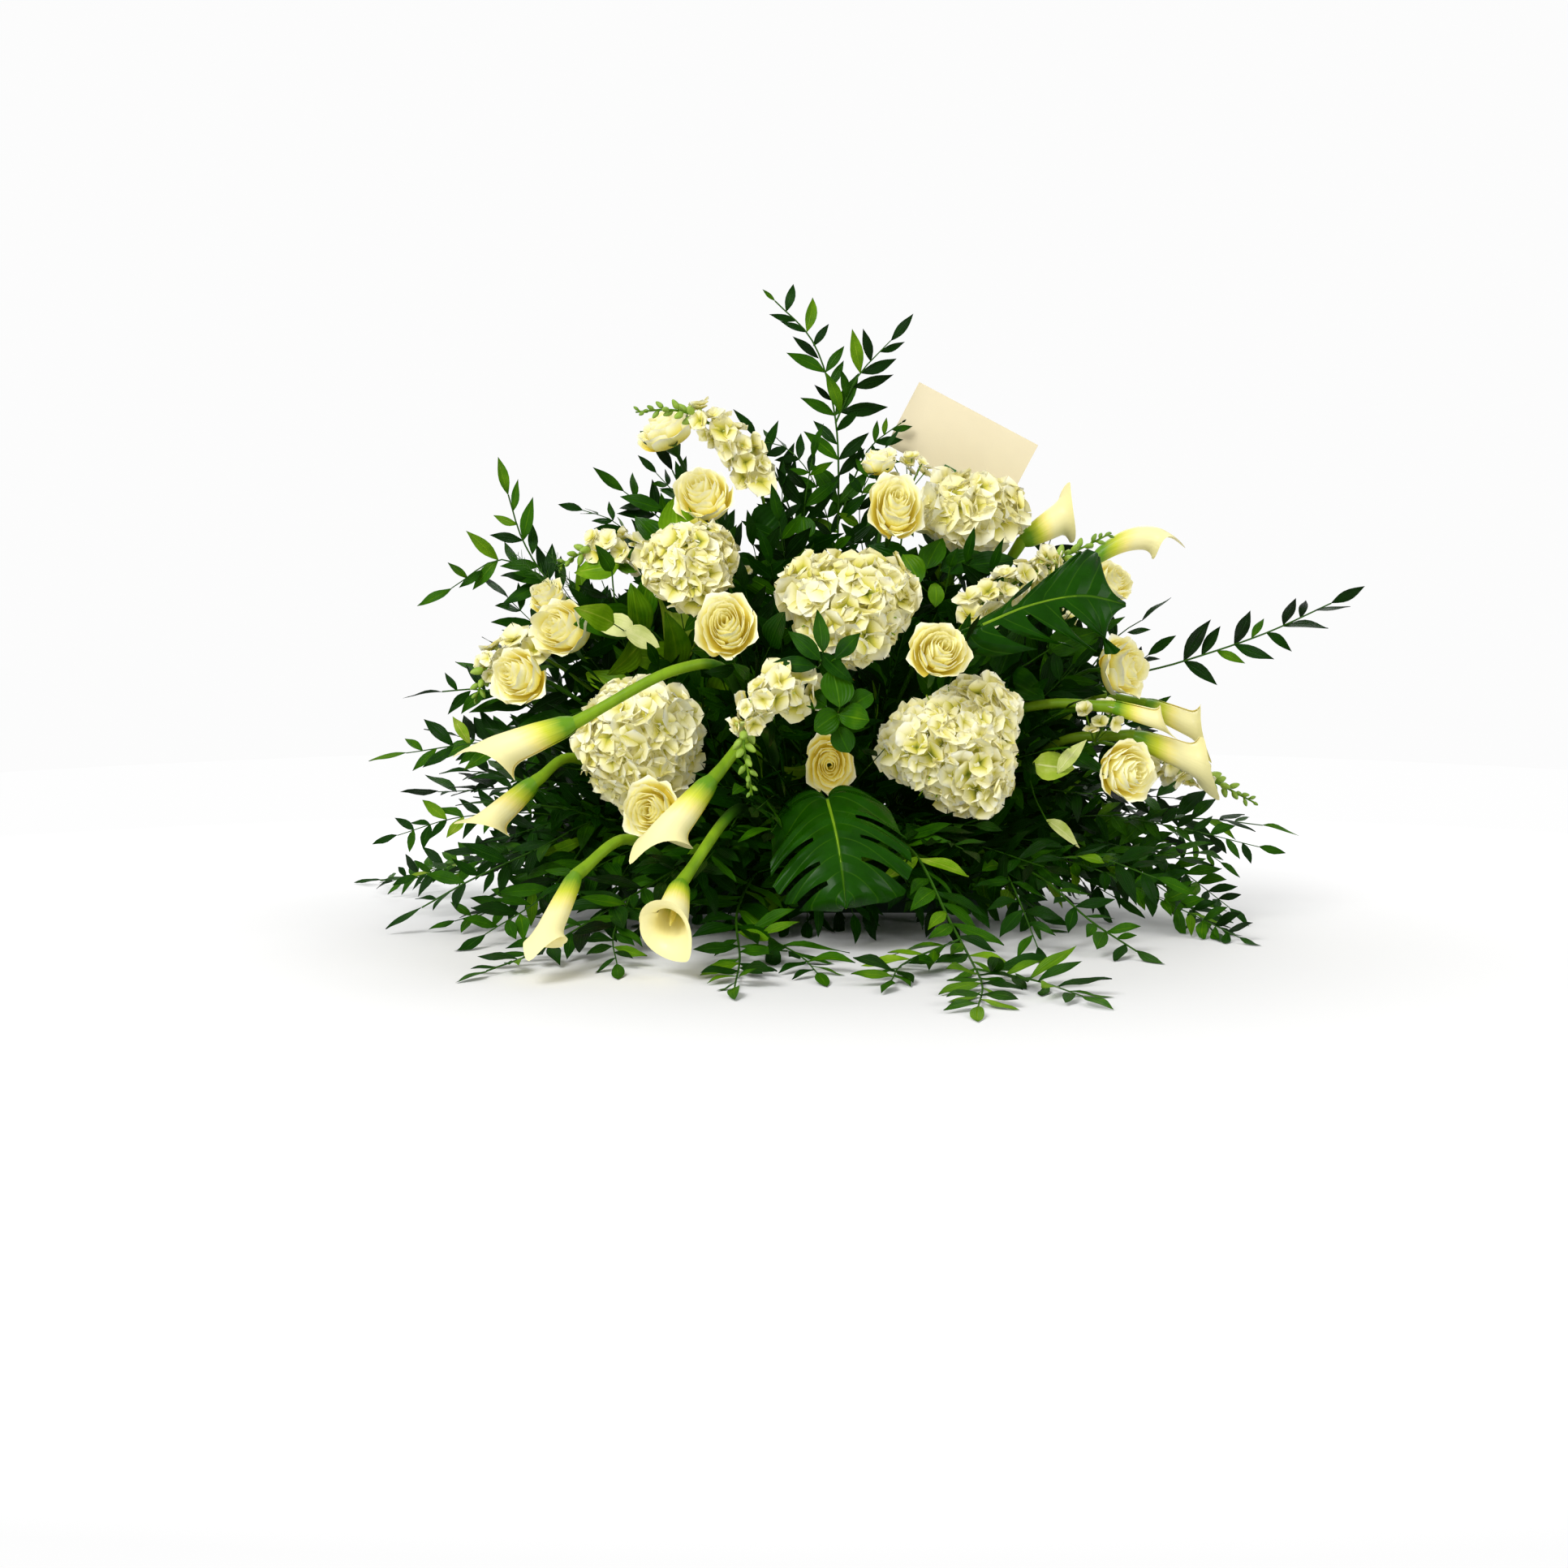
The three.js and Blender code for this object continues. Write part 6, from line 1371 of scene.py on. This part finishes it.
# Accent leaves
# Single round, broad and pale leaves that the florist tucks between the blooms, each on a stalk
# from one stem for its group. The pale ones show their undersides.
ROUND = (0.5, 0.62)
WIDE = (0.42, 0.8)
LONG = (0.42, 1.05)
ACCENTS = [
    dict(hub=(-0.045, -0.03, 0.43), leaves=[
        ((-0.06, -0.06, 0.467), 0.05, 0.047, 40, 0.22, ROUND),
        ((-0.019, -0.06, 0.463), 0.031, 0.028, 80, 0.42, ROUND)]),
    dict(hub=(-0.2, -0.03, 0.41), leaves=[
        ((-0.172, -0.1, 0.471), 0.064, 0.044, 105, 0.66, WIDE),
        ((-0.269, -0.06, 0.414), 0.056, 0.038, 190, 0.68, WIDE),
        ((-0.233, -0.05, 0.426), 0.05, 0.034, 150, 0.56, WIDE),
        ((-0.206, -0.04, 0.458), 0.062, 0.036, 125, 0.4, WIDE),
        ((-0.217, -0.02, 0.493), 0.055, 0.02, 160, 0.36, LONG)]),
    dict(hub=(0.016, -0.27, 0.245), leaves=[
        ((0.015, -0.31, 0.283), 0.043, 0.037, 92, 0.46, ROUND),
        ((-0.011, -0.3, 0.27), 0.031, 0.027, 150, 0.42, ROUND),
        ((0.002, -0.305, 0.247), 0.034, 0.029, 205, 0.44, ROUND),
        ((0.032, -0.31, 0.25), 0.034, 0.03, -15, 0.48, ROUND),
        ((0.041, -0.3, 0.27), 0.031, 0.025, 35, 0.42, ROUND),
        ((0.02, -0.3, 0.225), 0.032, 0.027, -70, 0.4, ROUND)]),
    dict(hub=(-0.2, -0.11, 0.34), leaves=[
        ((-0.241, -0.15, 0.35), 0.052, 0.03, 155, 0.98, WIDE),
        ((-0.207, -0.16, 0.333), 0.044, 0.027, -25, 0.96, WIDE)]),
    dict(hub=(0.24, -0.16, 0.18), leaves=[
        ((0.28, -0.22, 0.203), 0.052, 0.018, 60, 0.92, LONG),
        ((0.262, -0.22, 0.188), 0.048, 0.036, -12, 0.84, WIDE),
        ((0.278, -0.2, 0.113), 0.05, 0.019, -38, 0.94, LONG)]),
    dict(hub=(-0.002, -0.27, 0.31), leaves=[
        ((-0.022, -0.31, 0.33), 0.05, 0.02, 135, 0.36, LONG),
        ((-0.003, -0.3, 0.345), 0.05, 0.02, 88, 0.4, LONG),
        ((0.026, -0.31, 0.33), 0.048, 0.02, 45, 0.36, LONG),
        ((-0.034, -0.31, 0.31), 0.05, 0.019, 170, 0.3, LONG),
        ((0.012, -0.31, 0.304), 0.05, 0.02, -50, 0.3, LONG)]),
    dict(hub=(0.14, -0.08, 0.38), leaves=[
        ((0.106, -0.14, 0.414), 0.042, 0.03, 110, 0.54, ROUND),
        ((0.132, -0.1, 0.433), 0.046, 0.032, 70, 0.46, WIDE),
        ((0.168, -0.1, 0.424), 0.062, 0.03, 25, 0.32, WIDE),
        ((0.204, -0.1, 0.42), 0.062, 0.03, 5, 0.28, WIDE),
        ((0.134, -0.14, 0.383), 0.032, 0.02, 85, 0.6, ROUND),
        ((0.08, -0.1, 0.432), 0.056, 0.034, 150, 0.3, WIDE),
        ((0.102, -0.1, 0.414), 0.056, 0.032, 60, 0.34, WIDE)]),
]
accents = Cluster()
for index, group in enumerate(ACCENTS):
    hub = np.array(group["hub"])
    foot = np.array((hub[0] * 0.5, min(0.02, hub[1] * 0.2), FOOT_HEIGHT))
    stem = Line([foot, foot * 0.5 + hub * 0.5 + np.array((0, 0.02, 0.02)), hub])
    accents.tube(stem.spots(10), np.linspace(0.0018, 0.0014, 10), 6, 0.35, 1)
    for order, (place, length, width, level, tone, form) in enumerate(group["leaves"]):
        place = np.array(place)
        face = unit(np.array((0.25 * sway(index * 7 + order), -0.9, 0.35 + 0.2 * sway(index + 3 * order))))
        side = unit(np.cross((0, 0, 1), -face))
        angle = math.radians(level)
        out = -side * math.cos(angle) + np.cross(face, side) * -math.sin(angle)
        root = place - out * length / 2
        leaf = root, out, np.cross(out, face), face, length, width
        points = press_leaves(LEAF, [leaf], (1, 1), form, 0.08, index * 10 + order)
        accents.sheets(LEAF, points, BLADE_THICK, tone)
        stalk = Line([hub, (hub + root) / 2 - face * 0.008, root])
        accents.tube(stalk.spots(6), 0.0009, 5, 0.45, 1)
accents.piece("accent_leaves", [leaf_look, stem_look], "leaf")

# Small blossoms
# Clusters of little white blossoms on thin stems, tucked in behind the large blooms.
BLOSSOMS_EACH = 9
BLOSSOMS = [(0.318, -0.16, 0.24), (0.107, -0.02, 0.535), (0.3, -0.03, 0.35), (-0.1, -0.02, 0.42)]
small = Cluster()
for index, place in enumerate(BLOSSOMS):
    draw = np.random.default_rng(index + 600)
    place = np.array(place)
    foot = np.array((place[0] * 0.5, 0.01, FOOT_HEIGHT))
    hub = place - np.array((0, -0.012, 0.03))
    small.tube(Line([foot, foot * 0.5 + hub * 0.5, hub]).spots(10), 0.0012, 5, 0.4, 1)
    spots = place + draw.uniform(-1, 1, (BLOSSOMS_EACH, 3)) * np.array((0.024, 0.012, 0.016))
    petals, tones = floret_petals(spots, unit(spots - hub), 0.009, index + 600, 5, 0.5, 0.8)
    small.sheets(FLORET, petals, FLORET_THICK, tones * 0.4)
    for spot in spots:
        small.tube([hub, (hub + spot) / 2, spot], 0.0008, 4, 0.6, 1)
small.piece("small_blossoms", [floret_look, stem_look], "petal")

# Fern tuft
# A tuft of fine asparagus fern above the roses at the left, a spray of needles on thin stems.
FRONDS = 9
NEEDLE = 0.013
fern = Cluster()
draw = np.random.default_rng(77)
for frond in range(FRONDS):
    foot = np.array((-0.16, -0.01, 0.1))
    tip = np.array((-0.345, -0.035, 0.405)) + draw.uniform(-1, 1, 3) * np.array((0.035, 0.02, 0.03))
    line = Line([foot, (-0.25, -0.03, 0.3), tip])
    fern.tube(line.spots(12), np.linspace(0.001, 0.0004, 12), 4, 0.25, 1)
    for share in np.linspace(0.72, 1, 16):
        root = line.along(share)
        for needle in range(3):
            way = unit(line.way(share) + draw.uniform(-1, 1, 3))
            middle, tip = root + way * 0.006, root + way * NEEDLE
            fern.tube([root, middle, tip], [0.0004, 0.0004, 0.0002], 3, 0.3, 1)
fern.piece("fern_tuft", [leaf_look, stem_look], "leaf")

# Sizes
low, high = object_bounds()
